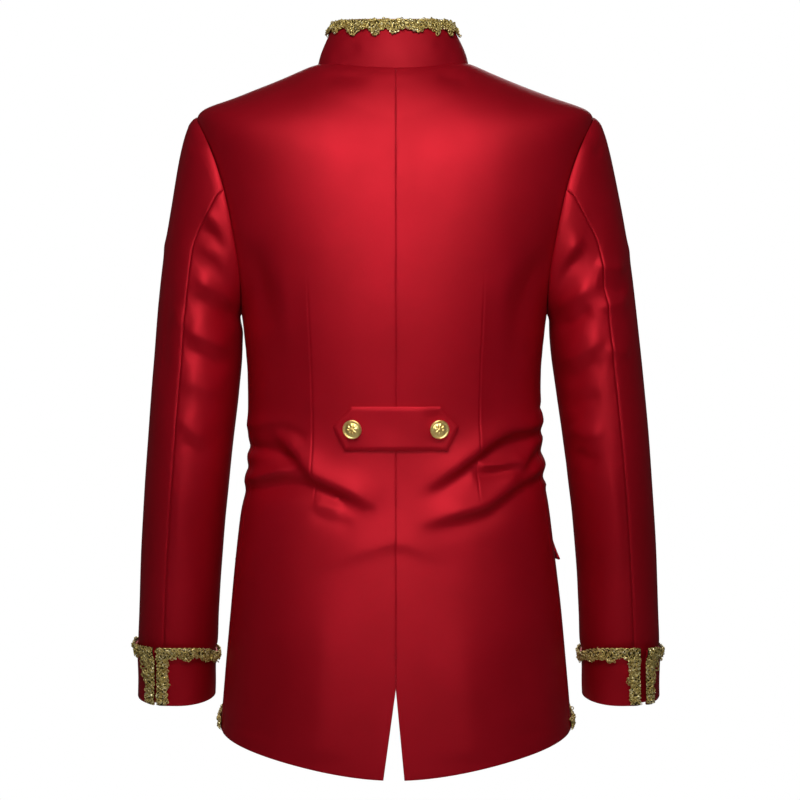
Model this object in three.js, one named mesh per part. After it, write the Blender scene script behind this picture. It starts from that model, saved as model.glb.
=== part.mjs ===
// A men's military parade jacket in the shape it takes when worn, with nobody in it: a fitted body with a back vent,
// a stand collar, two-piece sleeves with separate cuffs, a buttoned half belt on the back, pocket flaps, and a
// scalloped braid round the collar, the cuffs, the front edge and the front hem.
//
// Millimetres, +Z up, front towards -Y, the wearer's left towards +X. The origin is in the middle of the neck
// opening, level with the neck seam at the centre back. Every cloth piece is a wall: a grid of points on its outer
// face, and the same points moved in by the cloth's thickness.
import * as THREE from "three";

// ---------------------------------------------------------------- driving dimensions
const CLOTH = 2; // satin, interlining and facing together
const SEAM = 0.3; // between one sewn piece and the next
const HEM = 754; // centre back length, neck seam to hem
const SHOULDER_TIP = 120; // drop at the centre back of the ring that runs through the shoulder tips
const UNDERARM = 262; // drop of the lowest point of the armhole
const VENT_TOP = 660; // where the back vent starts
const VENT_OPEN = { left: 13, right: 9 }; // half opening of the vent at the hem
const FRONT_LAP = 22; // how far each front passes the centre
const FRONT_TUCK = { by: 3, over: 24 }; // how far the under front sits inside the upper one, and over what width
const FRONT_CORNER = { radius: 70, round: 0.55 }; // the front's lower corner, and how much of a full round it is
const SLEEVE_END = 650; // last ring of the sleeve, inside the cuff
const ARM_RADIUS = 44; // mean radius of the sleeve at the cuff
const CUFF = { top: 603, bottom: 655, thick: 2.6, slit: { left: 66, right: 64 }, gap: { left: 5, right: 9 } };
const CUFF_CLIMB = { back: 14, outer: { left: 10, right: 4 }, over: 45 }; // how far the cuff's upper edge climbs
const BELT = { level: 385, half: 52, tip: 13, tall: 47, thick: 3, button: 45 };
const FLAP = { from: 99, to: 141, top: 496, tall: 50, thick: 2.4, flare: { front: 2, left: 3, right: 8 } };
const BRAID = { wide: 11, tip: 8, cuffTip: 4, thick: 2.2, pitch: 24, inset: 0.5 }; // tip: how far a scallop reaches
const BUTTON = { radius: 10.2, shank: 3, high: 7.6, dome: 4.2 };
const FRONT_BUTTONS = { first: 60, last: 470, count: 5 };
const ARMHOLE_CELL = 15; // degrees round the armhole from one point of the seam to the next
const BACK_SEAM = 75; // sleeve seams, degrees round from the outer fold towards the back
const FRONT_SEAM = 240;

// ---------------------------------------------------------------- tables of sections
// Rings of the body. down: drop at the centre back. side, front: height of the ring at the side and centre front.
// half: half width. back, fore, mid: depth y at the centre back, centre front and sides. square: 2 is an ellipse.
// ease: how the height runs from the side to the back and front. shift: how far the sides lie to the left.
const TORSO = [
  { down: 0, side: 14, front: -75, half: 84, back: 70, fore: -70, mid: -3, square: 2.1, ease: 1.7, shift: 3 },
  { down: 45, side: -5, front: -98, half: 130, back: 91, fore: -98, mid: -8, square: 2.3, ease: 1.7, shift: 3 },
  { down: 82, side: -23, front: -122, half: 176, back: 102, fore: -118, mid: -13, square: 2.5, ease: 1.8, shift: 2 },
  { down: 120, side: -42, front: -150, half: 220, back: 108, fore: -130, mid: -18, square: 2.4, ease: 1.8, shift: 1 },
  { down: 190, side: -150, front: -195, half: 205, back: 112, fore: -140, mid: -18, square: 2.4, ease: 1.7, shift: 1 },
  { down: 262, side: -262, front: -262, half: 168, back: 108, fore: -145, mid: -18, square: 2.45, ease: 1.7, shift: 2 },
  { down: 340, side: -340, front: -338, half: 162, back: 93, fore: -141, mid: -22, square: 2.4, ease: 1.7, shift: 2 },
  { down: 420, side: -418, front: -412, half: 164, back: 80, fore: -136, mid: -26, square: 2.3, ease: 1.6, shift: 1 },
  { down: 500, side: -493, front: -480, half: 173, back: 88, fore: -140, mid: -24, square: 2.3, ease: 1.5, shift: 1 },
  { down: 600, side: -586, front: -560, half: 183, back: 100, fore: -146, mid: -22, square: 2.3, ease: 1.4, shift: 0 },
  { down: HEM, side: -712, front: -650, half: 194, back: 110, fore: -152, mid: -20, square: 2.3, ease: 1.2, shift: 0 },
];
const RING_BLEND = { side: 14, middle: 56 }; // rings flow into each other over this length

// The side seam swings towards the back at the waist. angle: degrees round from the centre back.
const SIDE_SEAM = [
  { down: 262, angle: 87 },
  { down: 430, angle: 77 },
  { down: HEM, angle: 80 },
];

// The armhole is a loop in the body's own angle and drop. swing: degrees that it reaches to the back and the front.
const ARMHOLE = { swingBack: 22, swingFront: 23 };

// Rings of the sleeve. along: distance down the outer fold. outX, outZ, inX, inZ: ends of the ring at the outer and
// inner folds. mid: depth y of the middle. deep: half depth. tilt: degrees that the back of the ring hangs lower.
const SLEEVE = [
  { along: 0, outX: 217, outZ: -40, inX: 166, inZ: -262, mid: -18, deep: 68, tilt: 0 },
  { along: 12, outX: 227, outZ: -50, inX: 168, inZ: -264, mid: -18, deep: 70, tilt: 0 },
  { along: 60, outX: 240, outZ: -98, inX: 169.5, inZ: -271, mid: -18, deep: 72, tilt: 0 },
  { along: 120, outX: 251, outZ: -157, inX: 170, inZ: -286, mid: -17, deep: 72, tilt: 0 },
  { along: 190, outX: 261, outZ: -226, inX: 171, inZ: -308, mid: -16, deep: 70, tilt: 1 },
  { along: 260, outX: 267.5, outZ: -296, inX: 175, inZ: -346, mid: -15, deep: 67, tilt: 2 },
  { along: 330, outX: 273.5, outZ: -366, inX: 181, inZ: -394, mid: -15, deep: 64, tilt: 4 },
  { along: 410, outX: 280, outZ: -446, inX: 188.5, inZ: -458, mid: -21, deep: 60, tilt: 6 },
  { along: 490, outX: 286, outZ: -526, inX: 195.5, inZ: -528, mid: -33, deep: 54, tilt: 8 },
  { along: 560, outX: 290, outZ: -597, inX: 201, inZ: -596, mid: -45, deep: 49.5, tilt: 9 },
  { along: 592, outX: 291.5, outZ: -626, inX: 202.5, inZ: -626, mid: -51, deep: 47.5, tilt: 9 },
  { along: 606, outX: 288.5, outZ: -639, inX: 206.5, inZ: -639, mid: -53, deep: 43.5, tilt: 9 },
  { along: 660, outX: 290, outZ: -692, inX: 210, inZ: -692, mid: -62, deep: 42.5, tilt: 9 },
];
const CAP_FADE = 110; // over this length the sleeve leaves the armhole's own shape
const SLEEVE_SWING = { left: -2, right: 4 }; // how far each arm swings out

// The stand collar's upper edge, as a ring of the body.
const COLLAR_TOP = { back: 57, fore: -55, mid: 0, half: 63, square: 2.1, backZ: 54, sideZ: 59, frontZ: -34, shift: 4 };
const COLLAR_EASE = 1.7;
const COLLAR_END = 3; // from the centre front to each end of the collar
const COLLAR_SWELL = 1.5;
const COLLAR_SEAM = 1.1; // off the neck edge, whose facets are shorter than the collar's

// The largest creases of the back, seen from behind: each runs from (x0, z0) past (x1, z1) to (x2, z2).
// rise: height of the ridge, or depth of the trough if negative. spread: half width.
const BACK_CREASES = [
  { x0: 124, z0: -391, x1: 76, z1: -425, x2: 8, z2: -458, rise: 3.5, spread: 12 },
  { x0: 150, z0: -396, x1: 88, z1: -430, x2: 18, z2: -466, rise: -5, spread: 11 },
  { x0: 157, z0: -438, x1: 106, z1: -434, x2: 70, z2: -446, rise: -3.5, spread: 11 },
  { x0: -141, z0: -393, x1: -80, z1: -418, x2: -14, z2: -455, rise: -5, spread: 13 },
  { x0: -133, z0: -434, x1: -74, z1: -443, x2: -16, z2: -468, rise: 4, spread: 12 },
  { x0: -148, z0: -445, x1: -100, z1: -464, x2: -32, z2: -480, rise: -4, spread: 12 },
];

// The largest creases of the sleeves, each across the sleeve. along, swing: its middle, in distance down the outer
// fold and degrees round. lean: how far along it runs to a side. reach: degrees to each side.
const SLEEVE_CREASES = [
  { along: 150, swing: 120, lean: 40, reach: 48, rise: -4, spread: 12 },
  { along: 195, swing: 125, lean: 34, reach: 50, rise: -3.5, spread: 13 },
  { along: 245, swing: 130, lean: 26, reach: 50, rise: -3.5, spread: 13 },
  { along: 300, swing: 125, lean: 20, reach: 48, rise: -3, spread: 13 },
  { along: 360, swing: 130, lean: 16, reach: 44, rise: -2.5, spread: 13 },
];

// ---------------------------------------------------------------- small helpers
const rad = THREE.MathUtils.degToRad;
const lerp = THREE.MathUtils.lerp;
const smoothstep = THREE.MathUtils.smoothstep;
const point = (x, y, z) => new THREE.Vector3(x, y, z);
const steps = (count) => Array.from({ length: count + 1 }, (_, i) => i / count);

// A smooth curve through a table's rows, by its key column. No column overshoots its rows.
function curveThrough(rows, key) {
  const names = Object.keys(rows[0]).filter((name) => name !== key);
  const gaps = rows.slice(1).map((row, i) => row[key] - rows[i][key]);
  const slopeOf = (name, i) => (rows[i + 1][name] - rows[i][name]) / gaps[i];
  const tangent = (name, i) => {
    if (i === 0) return slopeOf(name, 0);
    if (i === rows.length - 1) return slopeOf(name, i - 1);
    const before = slopeOf(name, i - 1);
    const after = slopeOf(name, i);
    return before * after <= 0 ? 0 : (2 * before * after) / (before + after);
  };
  return (at) => {
    const place = Math.min(Math.max(at, rows[0][key]), rows[rows.length - 1][key]);
    let i = 0;
    while (i < gaps.length - 1 && place > rows[i + 1][key]) i += 1;
    const t = (place - rows[i][key]) / gaps[i];
    const found = {};
    for (const name of names) {
      const a = rows[i][name];
      const b = rows[i + 1][name];
      const ta = tangent(name, i) * gaps[i];
      const tb = tangent(name, i + 1) * gaps[i];
      found[name] =
        (1 + 2 * t) * (1 - t) ** 2 * a + t * (1 - t) ** 2 * ta + t * t * (3 - 2 * t) * b + t * t * (t - 1) * tb;
    }
    return found;
  };
}

// The point at an angle on a ring with the given half width and depths.
function onRing(ring, angle, z) {
  const s = Math.sin(rad(angle));
  const c = Math.cos(rad(angle));
  const deep = c >= 0 ? ring.back - ring.mid : ring.mid - ring.fore;
  const n = ring.square;
  const reach = ((Math.abs(s) / ring.half) ** n + (Math.abs(c) / deep) ** n) ** (-1 / n);
  return point(reach * s + ring.shift * s * s, ring.mid + reach * c, z);
}

const ringHeight = (side, end, angle, ease) => side + (end - side) * Math.abs(Math.cos(rad(angle))) ** ease;

// The outward normal of a surface of two parameters, turned by `sign` where its parameters run the other way.
function normalOf(surface, u, v, sign = 1) {
  const stepU = 0.5;
  const stepV = 1.5;
  const alongU = surface(u + stepU, v).sub(surface(u - stepU, v));
  const alongV = surface(u, v + stepV).sub(surface(u, v - stepV));
  return alongU.cross(alongV).normalize().multiplyScalar(sign);
}

// ---------------------------------------------------------------- the body's surface
const ringAt = curveThrough(TORSO, "down");
const sideSeamAt = curveThrough(SIDE_SEAM, "down");

// The share of a crease's full rise at a point, from its distance to the bent line.
function creaseShare(crease, x, z) {
  let best = Infinity;
  let place = 0;
  for (const t of steps(12)) {
    const [a, b, c] = [(1 - t) ** 2, 2 * t * (1 - t), t * t];
    const lineX = a * crease.x0 + b * crease.x1 + c * crease.x2;
    const lineZ = a * crease.z0 + b * crease.z1 + c * crease.z2;
    const away = Math.hypot(x - lineX, z - lineZ);
    if (away < best) [best, place] = [away, t];
  }
  return Math.exp(-((best / crease.spread) ** 2)) * Math.sin(Math.PI * lerp(0.1, 0.9, place));
}

// A point of the table's own ring: angle in degrees from the centre back towards the wearer's left, and drop.
function tablePoint(angle, down) {
  const ring = ringAt(down);
  const end = Math.cos(rad(angle)) >= 0 ? -down : ring.front;
  return onRing(ring, angle, ringHeight(ring.side, end, angle, ring.ease));
}

// The body without its creases: a mean of the rings around, so that the shoulder blades are rounded.
function smoothTorso(angle, down) {
  const blend = lerp(RING_BLEND.side, RING_BLEND.middle, Math.cos(rad(angle)) ** 2);
  const reach = Math.max(0, Math.min(blend, down, HEM - down));
  const mean = tablePoint(angle, down).multiplyScalar(3 / 9);
  mean.addScaledVector(tablePoint(angle, down - reach / 2), 2 / 9);
  mean.addScaledVector(tablePoint(angle, down + reach / 2), 2 / 9);
  mean.addScaledVector(tablePoint(angle, down - reach), 1 / 9);
  return mean.addScaledVector(tablePoint(angle, down + reach), 1 / 9);
}

// The body's outer face.
function torso(angle, down) {
  const place = smoothTorso(angle, down);
  if (Math.cos(rad(angle)) >= 0) {
    let rise = 0;
    for (const crease of BACK_CREASES) rise += crease.rise * creaseShare(crease, place.x, place.z);
    place.x += rise * Math.sin(rad(angle));
    place.y += rise * Math.cos(rad(angle));
  }
  return place;
}

// The same face where the wearer's right front passes under the left one.
function torsoUnder(angle, down) {
  const place = torso(angle, down);
  if (Math.cos(rad(angle)) > 0) return place;
  const tuck = FRONT_TUCK.by * smoothstep(place.x, -FRONT_LAP - 2 - FRONT_TUCK.over, -FRONT_LAP - 2);
  return place.addScaledVector(normalOf(torso, angle, down), -tuck);
}

// ---------------------------------------------------------------- walls from grids
// A closed wall between an outer and an inner grid of points, both given as rows.
function wallGeometry(outer, inner) {
  const rows = outer.length;
  const cols = outer[0].length;
  const positions = [...outer.flat(), ...inner.flat()].flatMap((p) => [p.x, p.y, p.z]);
  const out = (r, c) => r * cols + c;
  const inn = (r, c) => rows * cols + r * cols + c;
  const faces = [];
  const quad = (a, b, c, d) => faces.push(a, b, c, a, c, d);
  for (let r = 0; r < rows - 1; r += 1) {
    for (let c = 0; c < cols - 1; c += 1) {
      quad(out(r, c), out(r, c + 1), out(r + 1, c + 1), out(r + 1, c));
      quad(inn(r, c), inn(r + 1, c), inn(r + 1, c + 1), inn(r, c + 1));
    }
    quad(out(r, 0), out(r + 1, 0), inn(r + 1, 0), inn(r, 0));
    quad(out(r + 1, cols - 1), out(r, cols - 1), inn(r, cols - 1), inn(r + 1, cols - 1));
  }
  for (let c = 0; c < cols - 1; c += 1) {
    quad(out(0, c + 1), out(0, c), inn(0, c), inn(0, c + 1));
    quad(out(rows - 1, c), out(rows - 1, c + 1), inn(rows - 1, c + 1), inn(rows - 1, c));
  }
  const geometry = new THREE.BufferGeometry();
  geometry.setAttribute("position", new THREE.Float32BufferAttribute(positions, 3));
  geometry.setIndex(facingOut(positions, faces));
  geometry.computeVertexNormals();
  return geometry;
}

// The faces, turned over if they enclose a negative volume.
function facingOut(positions, faces) {
  const at = (i) => point(positions[3 * i], positions[3 * i + 1], positions[3 * i + 2]);
  let volume = 0;
  for (let i = 0; i < faces.length; i += 3) {
    volume += at(faces[i]).dot(at(faces[i + 1]).cross(at(faces[i + 2])));
  }
  if (volume > 0) return faces;
  const turned = [];
  for (let i = 0; i < faces.length; i += 3) turned.push(faces[i], faces[i + 2], faces[i + 1]);
  return turned;
}

// A wall on a surface: `grid` holds rows of [u, v], `lift` is how far its inner face stands off the surface.
function wallOn(surface, grid, thick, { lift = -thick, sign = 1, flare = () => 0 } = {}) {
  const outer = [];
  const inner = [];
  for (const row of grid) {
    const outerRow = [];
    const innerRow = [];
    for (const [u, v] of row) {
      const normal = normalOf(surface, u, v, sign);
      const base = lift + flare(u, v);
      innerRow.push(surface(u, v).addScaledVector(normal, base));
      outerRow.push(surface(u, v).addScaledVector(normal, base + thick));
    }
    outer.push(outerRow);
    inner.push(innerRow);
  }
  return wallGeometry(outer, inner);
}

// ---------------------------------------------------------------- materials and parts
const SATIN = new THREE.MeshStandardMaterial({ color: 0x9c0d1b, roughness: 0.45, metalness: 0 });
const BRAID_GOLD = new THREE.MeshStandardMaterial({ color: 0xa8923f, roughness: 0.4, metalness: 0.8 });
const BUTTON_GOLD = new THREE.MeshStandardMaterial({ color: 0xd8b264, roughness: 0.25, metalness: 1 });

const jacket = new THREE.Group();

function add(name, geometry, material) {
  const mesh = new THREE.Mesh(geometry, material);
  mesh.name = name;
  jacket.add(mesh);
  return mesh;
}

const SIDES = [
  { name: "left", sign: 1 },
  { name: "right", sign: -1 },
];

// ---------------------------------------------------------------- armholes
const YOKE_ROWS = [0, 30, 60, 90];
const SKIRT_ROWS = [300, 345, 372, 388, 402, 416, 430, 444, 458, 474, 510, 560, 620, 685, HEM];

const armholeDrop = (turn) => lerp(SHOULDER_TIP, UNDERARM, (1 - Math.cos(rad(turn))) / 2);

// The body's angle on the armhole. turn runs from the shoulder tip, 0, over the back, 90, to the underarm, 180.
function armholeAngle(turn) {
  const swing = Math.sin(rad(turn));
  const middle = lerp(90, sideSeamAt(UNDERARM).angle, (1 - Math.cos(rad(turn))) / 2);
  return middle - swing * (swing > 0 ? ARMHOLE.swingBack : ARMHOLE.swingFront);
}

const armhole = (sign, turn) => torso(sign * armholeAngle(turn), armholeDrop(turn));

// The rows of a body panel: drops, and the turn of the armhole where the row ends on it.
function panelRows() {
  const yoke = YOKE_ROWS.map((down) => ({ down, edge: 90 }));
  const hole = steps(180 / ARMHOLE_CELL).map((f) => ({ down: armholeDrop(180 * f), turn: 180 * f }));
  const skirt = SKIRT_ROWS.map((down) => ({ down, share: (down - UNDERARM) / (HEM - UNDERARM) }));
  return [...yoke, ...hole, ...skirt];
}

// ---------------------------------------------------------------- back panels
const BACK_CELLS = 13;

// Half the width of the centre back seam or of the open vent, as an angle.
function ventAngle(side, down) {
  const open = Math.max(0, (down - VENT_TOP) / (HEM - VENT_TOP)) * VENT_OPEN[side.name];
  const ring = ringAt(down);
  return THREE.MathUtils.radToDeg((SEAM / 2 + open) / (ring.back - ring.mid));
}

const seamHalf = (down) => THREE.MathUtils.radToDeg(SEAM / 2 / ringAt(down).half);

function backPanel(side) {
  const grid = panelRows().map(({ down, edge, turn }) => {
    let last = edge ?? sideSeamAt(down).angle;
    if (turn !== undefined) last = armholeAngle(turn);
    last -= turn === undefined || turn === 180 ? seamHalf(down) : 0;
    const first = ventAngle(side, down);
    return steps(BACK_CELLS).map((f) => [side.sign * lerp(first, last, f), down]);
  });
  return wallOn(torso, grid, CLOTH);
}

for (const side of SIDES) add(`back_${side.name}`, backPanel(side), SATIN);

// ---------------------------------------------------------------- front panels
const FRONT_CELLS = 9;
const FRONT_BUNCH = 1.25; // bunches the columns towards the centre front
const HEM_PITCH = { front: 0.62, side: 0.86 }; // height lost per unit of drop at the hem

const lapAngle = (down) => {
  const ring = ringAt(down);
  return THREE.MathUtils.radToDeg(Math.asin(FRONT_LAP / (ring.mid - ring.fore)));
};

// The drop of the front's hem, which rises round its corner.
function frontHem(angle) {
  const fromEdge = torso(180, HEM).distanceTo(torso(angle, HEM)) * (angle > 180 ? -1 : 1) + FRONT_LAP;
  const { radius, round } = FRONT_CORNER;
  const inside = Math.max(0, radius - Math.max(0, fromEdge));
  const rise = radius - Math.sqrt(radius ** 2 - inside ** 2);
  return HEM - (rise * round) / HEM_PITCH.front;
}

function frontPanel(side) {
  const surface = side.sign > 0 ? torso : torsoUnder;
  const grid = panelRows().map(({ down, edge, turn, share }) => {
    let first = edge ?? sideSeamAt(down).angle;
    if (turn !== undefined) first = armholeAngle(-turn);
    first += turn === undefined || turn === 180 ? seamHalf(down) : 0;
    const last = 180 + lapAngle(down);
    return steps(FRONT_CELLS).map((f) => {
      const angle = lerp(last, first, f ** FRONT_BUNCH);
      const drop = share ? lerp(UNDERARM, frontHem(angle), share) : down;
      return [side.sign * angle, drop];
    });
  });
  return wallOn(surface, grid, CLOTH);
}

for (const side of SIDES) add(`front_${side.name}`, frontPanel(side), SATIN);

// ---------------------------------------------------------------- sleeves
const armAt = curveThrough(SLEEVE, "along");

function sleeveCrease(turn, along) {
  let rise = 0;
  const swing = ((turn % 360) + 360) % 360;
  for (const crease of SLEEVE_CREASES) {
    const across = (swing - crease.swing) / crease.reach;
    if (Math.abs(across) >= 1) continue;
    const away = (along - crease.along - crease.lean * across) / crease.spread;
    rise += crease.rise * Math.exp(-away * away) * Math.cos((across * Math.PI) / 2) ** 2;
  }
  return rise;
}

function sleeveRing(turn, along) {
  const arm = armAt(along);
  const c = Math.cos(rad(turn));
  const s = Math.sin(rad(turn));
  const rise = sleeveCrease(turn, along);
  const deep = arm.deep + rise;
  return point(
    (arm.outX + arm.inX) / 2 + c * ((arm.outX - arm.inX) / 2 + rise),
    arm.mid + s * deep * Math.cos(rad(arm.tilt)),
    (arm.outZ + arm.inZ) / 2 + (c * (arm.outZ - arm.inZ)) / 2 - s * deep * Math.sin(rad(arm.tilt)),
  );
}

// The sleeve's outer face on one side: turn in degrees from the outer fold over the back, and distance along.
function sleeve(side) {
  return (turn, along) => {
    const place = sleeveRing(turn, along);
    const swung = SLEEVE_SWING[side.name] * smoothstep(along, CAP_FADE / 2, CAP_FADE * 4);
    place.x = side.sign * (place.x + swung);
    if (along < CAP_FADE) {
      const ring = sleeveRing(turn, 0);
      ring.x *= side.sign;
      const keep = 1 - smoothstep(Math.max(0, along), 0, CAP_FADE);
      place.add(armhole(side.sign, turn).sub(ring).multiplyScalar(keep));
    }
    return place;
  };
}

// The seam ring of a sleeve: its end lies along the armhole's own edge, a seam's width into the hole.
function sleeveStart(sign, turn) {
  const edge = armhole(sign, turn);
  const normal = normalOf(torso, sign * armholeAngle(turn), armholeDrop(turn));
  const alongEdge = armhole(sign, turn + 1).sub(armhole(sign, turn - 1));
  const middle = armhole(sign, 0).add(armhole(sign, 180)).multiplyScalar(0.5);
  const inward = normal.clone().cross(alongEdge).normalize();
  if (inward.dot(middle.sub(edge)) < 0) inward.negate();
  const outer = edge.addScaledVector(inward, SEAM);
  return { outer, inner: outer.clone().addScaledVector(normal, -CLOTH) };
}

const SLEEVE_ROWS = [8, 24, 50, 84, 118, 144, 166, 190, 214, 240, 270, 305, 350, 410, 480, 545, 592, 606];

function sleevePanel(side, from, to) {
  const surface = sleeve(side);
  const seam = THREE.MathUtils.radToDeg(SEAM / 2 / ARM_RADIUS);
  const turns = steps((to - from) / ARMHOLE_CELL).map((f) => lerp(from, to, f));
  turns[0] += seam;
  turns[turns.length - 1] -= seam;
  const starts = turns.map((turn) => sleeveStart(side.sign, turn));
  const outer = [starts.map((s) => s.outer)];
  const inner = [starts.map((s) => s.inner)];
  for (const along of [...SLEEVE_ROWS, SLEEVE_END]) {
    outer.push(turns.map((turn) => surface(turn, along)));
    inner.push(
      turns.map((turn) =>
        surface(turn, along).addScaledVector(normalOf(surface, turn, along, -side.sign), -CLOTH),
      ),
    );
  }
  return wallGeometry(outer, inner);
}

for (const side of SIDES) {
  add(`sleeve_top_${side.name}`, sleevePanel(side, FRONT_SEAM - 360, BACK_SEAM), SATIN);
  add(`sleeve_under_${side.name}`, sleevePanel(side, BACK_SEAM, FRONT_SEAM), SATIN);
}

// ---------------------------------------------------------------- cuffs
const CUFF_LIFT = 0.9; // off the sleeve, clear of its flat facets
const CUFF_UPPER = [0, 6, 12, 18]; // its upper rows, close together where the braid lies
const cuffHalfGap = (side) => THREE.MathUtils.radToDeg(CUFF.gap[side.name] / 2 / ARM_RADIUS);

// The cuff's upper edge climbs at the back of the arm, and round its outer fold.
function cuffTop(side, turn) {
  const back = Math.max(0, Math.sin(rad(turn))) ** 1.25;
  const fromOuter = turn > 180 ? turn - 360 : turn;
  return CUFF.top - CUFF_CLIMB.back * back - CUFF_CLIMB.outer[side.name] * Math.exp(-((fromOuter / CUFF_CLIMB.over) ** 2));
}

function cuff(side) {
  const from = CUFF.slit[side.name] + cuffHalfGap(side);
  const to = from + 360 - 2 * cuffHalfGap(side);
  const turns = steps(24).map((f) => lerp(from, to, f));
  const upper = CUFF_UPPER.map((below) => turns.map((turn) => [turn, cuffTop(side, turn) + below]));
  const lower = [0.5, 1].map((r) => turns.map((turn, i) => [turn, lerp(upper.at(-1)[i][1], CUFF.bottom, r)]));
  const grid = [...upper, ...lower];
  return wallOn(sleeve(side), grid, CUFF.thick, { lift: CUFF_LIFT, sign: -side.sign });
}

for (const side of SIDES) add(`cuff_${side.name}`, cuff(side), SATIN);

// ---------------------------------------------------------------- collar
// The collar's outer face: angle round the neck, and share of its height from the neck seam up.
function collar(angle, up) {
  const atBack = Math.cos(rad(angle)) >= 0;
  const endZ = atBack ? COLLAR_TOP.backZ : COLLAR_TOP.frontZ;
  const top = onRing(COLLAR_TOP, angle, ringHeight(COLLAR_TOP.sideZ, endZ, angle, COLLAR_EASE));
  const swell = COLLAR_SWELL * Math.sin(Math.PI * up);
  return torso(angle, 0)
    .lerp(top, up)
    .add(point(swell * Math.sin(rad(angle)), swell * Math.cos(rad(angle)), 0));
}

const COLLAR_SPAN = 180 - THREE.MathUtils.radToDeg(COLLAR_END / COLLAR_TOP.half);
const collarByHundred = (angle, up) => collar(angle, up / 100);

function collarPanel() {
  const angles = steps(32).map((f) => lerp(-COLLAR_SPAN, COLLAR_SPAN, f));
  const base = angles.map((angle) => {
    const normal = normalOf(torso, angle, 0);
    const alongEdge = torso(angle + 1, 0).sub(torso(angle - 1, 0));
    const inward = alongEdge.cross(normal).normalize();
    const outer = torso(angle, 0).addScaledVector(inward, COLLAR_SEAM);
    return { outer, inner: outer.clone().addScaledVector(normal, -CLOTH) };
  });
  const outer = [base.map((b) => b.outer)];
  const inner = [base.map((b) => b.inner)];
  for (const up of [12, 40, 70, 100]) {
    outer.push(angles.map((angle) => collarByHundred(angle, up)));
    inner.push(
      angles.map((angle) =>
        collarByHundred(angle, up).addScaledVector(normalOf(collarByHundred, angle, up, -1), -CLOTH),
      ),
    );
  }
  return wallGeometry(outer, inner);
}

add("collar", collarPanel(), SATIN);

// ---------------------------------------------------------------- half belt
// The body's angle at a given x on the back.
function angleAtX(x, down) {
  let [low, high] = [0, 90];
  for (let i = 0; i < 30; i += 1) {
    const middle = (low + high) / 2;
    if (Math.abs(torso(Math.sign(x) * middle, down).x) < Math.abs(x)) low = middle;
    else high = middle;
  }
  return Math.sign(x || 1) * low;
}

const BELT_LIFT = 1.2; // off the back, clear of its creases

// The belt spans the back's smaller hollows, so it lies on the body without its creases.
// Its half length at a share of its height, 0 at the top: blunt points at both ends.
const beltHalf = (share) => BELT.half + BELT.tip * (1 - Math.abs(share * 2 - 0.9) / 1.1);

function halfBelt() {
  const grid = steps(4).map((r) => {
    const down = BELT.level + (r - 0.5) * BELT.tall;
    return steps(14).map((f) => [angleAtX(lerp(-beltHalf(r), beltHalf(r), f), down), down]);
  });
  return wallOn(smoothTorso, grid, BELT.thick, { lift: BELT_LIFT });
}

add("half_belt", halfBelt(), SATIN);

// ---------------------------------------------------------------- pocket flaps
const FLAP_LIFT = 0.4;

function pocketFlap(side) {
  const surface = side.sign > 0 ? torso : torsoUnder;
  const grid = steps(3).map((r) =>
    steps(8).map((f) => [side.sign * lerp(FLAP.from, FLAP.to, f), FLAP.top + r * FLAP.tall]),
  );
  const flare = (angle, down) => {
    const low = (down - FLAP.top) / FLAP.tall;
    const rear = (FLAP.to - Math.abs(angle)) / (FLAP.to - FLAP.from);
    return low * low * lerp(FLAP.flare.front, FLAP.flare[side.name], rear);
  };
  return wallOn(surface, grid, FLAP.thick, { lift: FLAP_LIFT, flare });
}

for (const side of SIDES) add(`pocket_flap_${side.name}`, pocketFlap(side), SATIN);

// ---------------------------------------------------------------- scalloped braid
const BRAID_LIFT = 0.7; // off the cloth, clear of its flat facets

const scallop = (s, tip) => tip * Math.sin((Math.PI * s) / BRAID.pitch) ** 2;
const BRAID_ACROSS = [0, 0.5, 1]; // points from the braid's straight edge to its scalloped one

// Collar braid: along the upper edge, from one front end to the other.
const COLLAR_ROUND = 385;
const COLLAR_HIGH = 56;

function collarBraid() {
  const span = COLLAR_SPAN - 1;
  const grid = BRAID_ACROSS.map((share) =>
    steps(64).map((f) => {
      const inside = BRAID.inset + share * (BRAID.wide + scallop(f * COLLAR_ROUND, BRAID.tip));
      return [lerp(-span, span, f), 100 * (1 - inside / COLLAR_HIGH)];
    }),
  );
  return wallOn(collarByHundred, grid, BRAID.thick, { lift: BRAID_LIFT, sign: -1 });
}

add("braid_collar", collarBraid(), BRAID_GOLD);

// Cuff braid: up one side of the slit, round the cuff's upper edge and down the other side, with mitred corners.
function cuffBraid(side) {
  const round = 2 * Math.PI * ARM_RADIUS;
  const degrees = (length) => (length / round) * 360;
  const top = (turn) => cuffTop(side, turn) + BRAID.inset;
  const low = CUFF.bottom - 2;
  const first = CUFF.slit[side.name] + cuffHalfGap(side);
  const span = 360 - 2 * cuffHalfGap(side);
  const [sideCells, topCells] = [4, 26];
  const grid = BRAID_ACROSS.map((share) => {
    const inside = share * BRAID.wide;
    const edge = degrees(BRAID.inset + inside);
    const corner = degrees(BRAID.wide + 3);
    const up = steps(sideCells).map((f) => [first + edge, lerp(low, top(first + edge) + inside, f)]);
    const across = steps(topCells)
      .slice(1, -1)
      .map((f, i) => {
        const turn = first + lerp(corner, span - corner, i / (topCells - 2));
        return [turn, top(turn) + share * (BRAID.wide + scallop(f * round, BRAID.cuffTip))];
      });
    const last = first + span - edge;
    const away = steps(sideCells).map((f) => [last, lerp(top(last) + inside, low, f)]);
    return [...up, ...across, ...away];
  });
  return wallOn(sleeve(side), grid, BRAID.thick, { lift: CUFF_LIFT + CUFF.thick + BRAID_LIFT, sign: -side.sign });
}

for (const side of SIDES) add(`braid_cuff_${side.name}`, cuffBraid(side), BRAID_GOLD);

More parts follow.
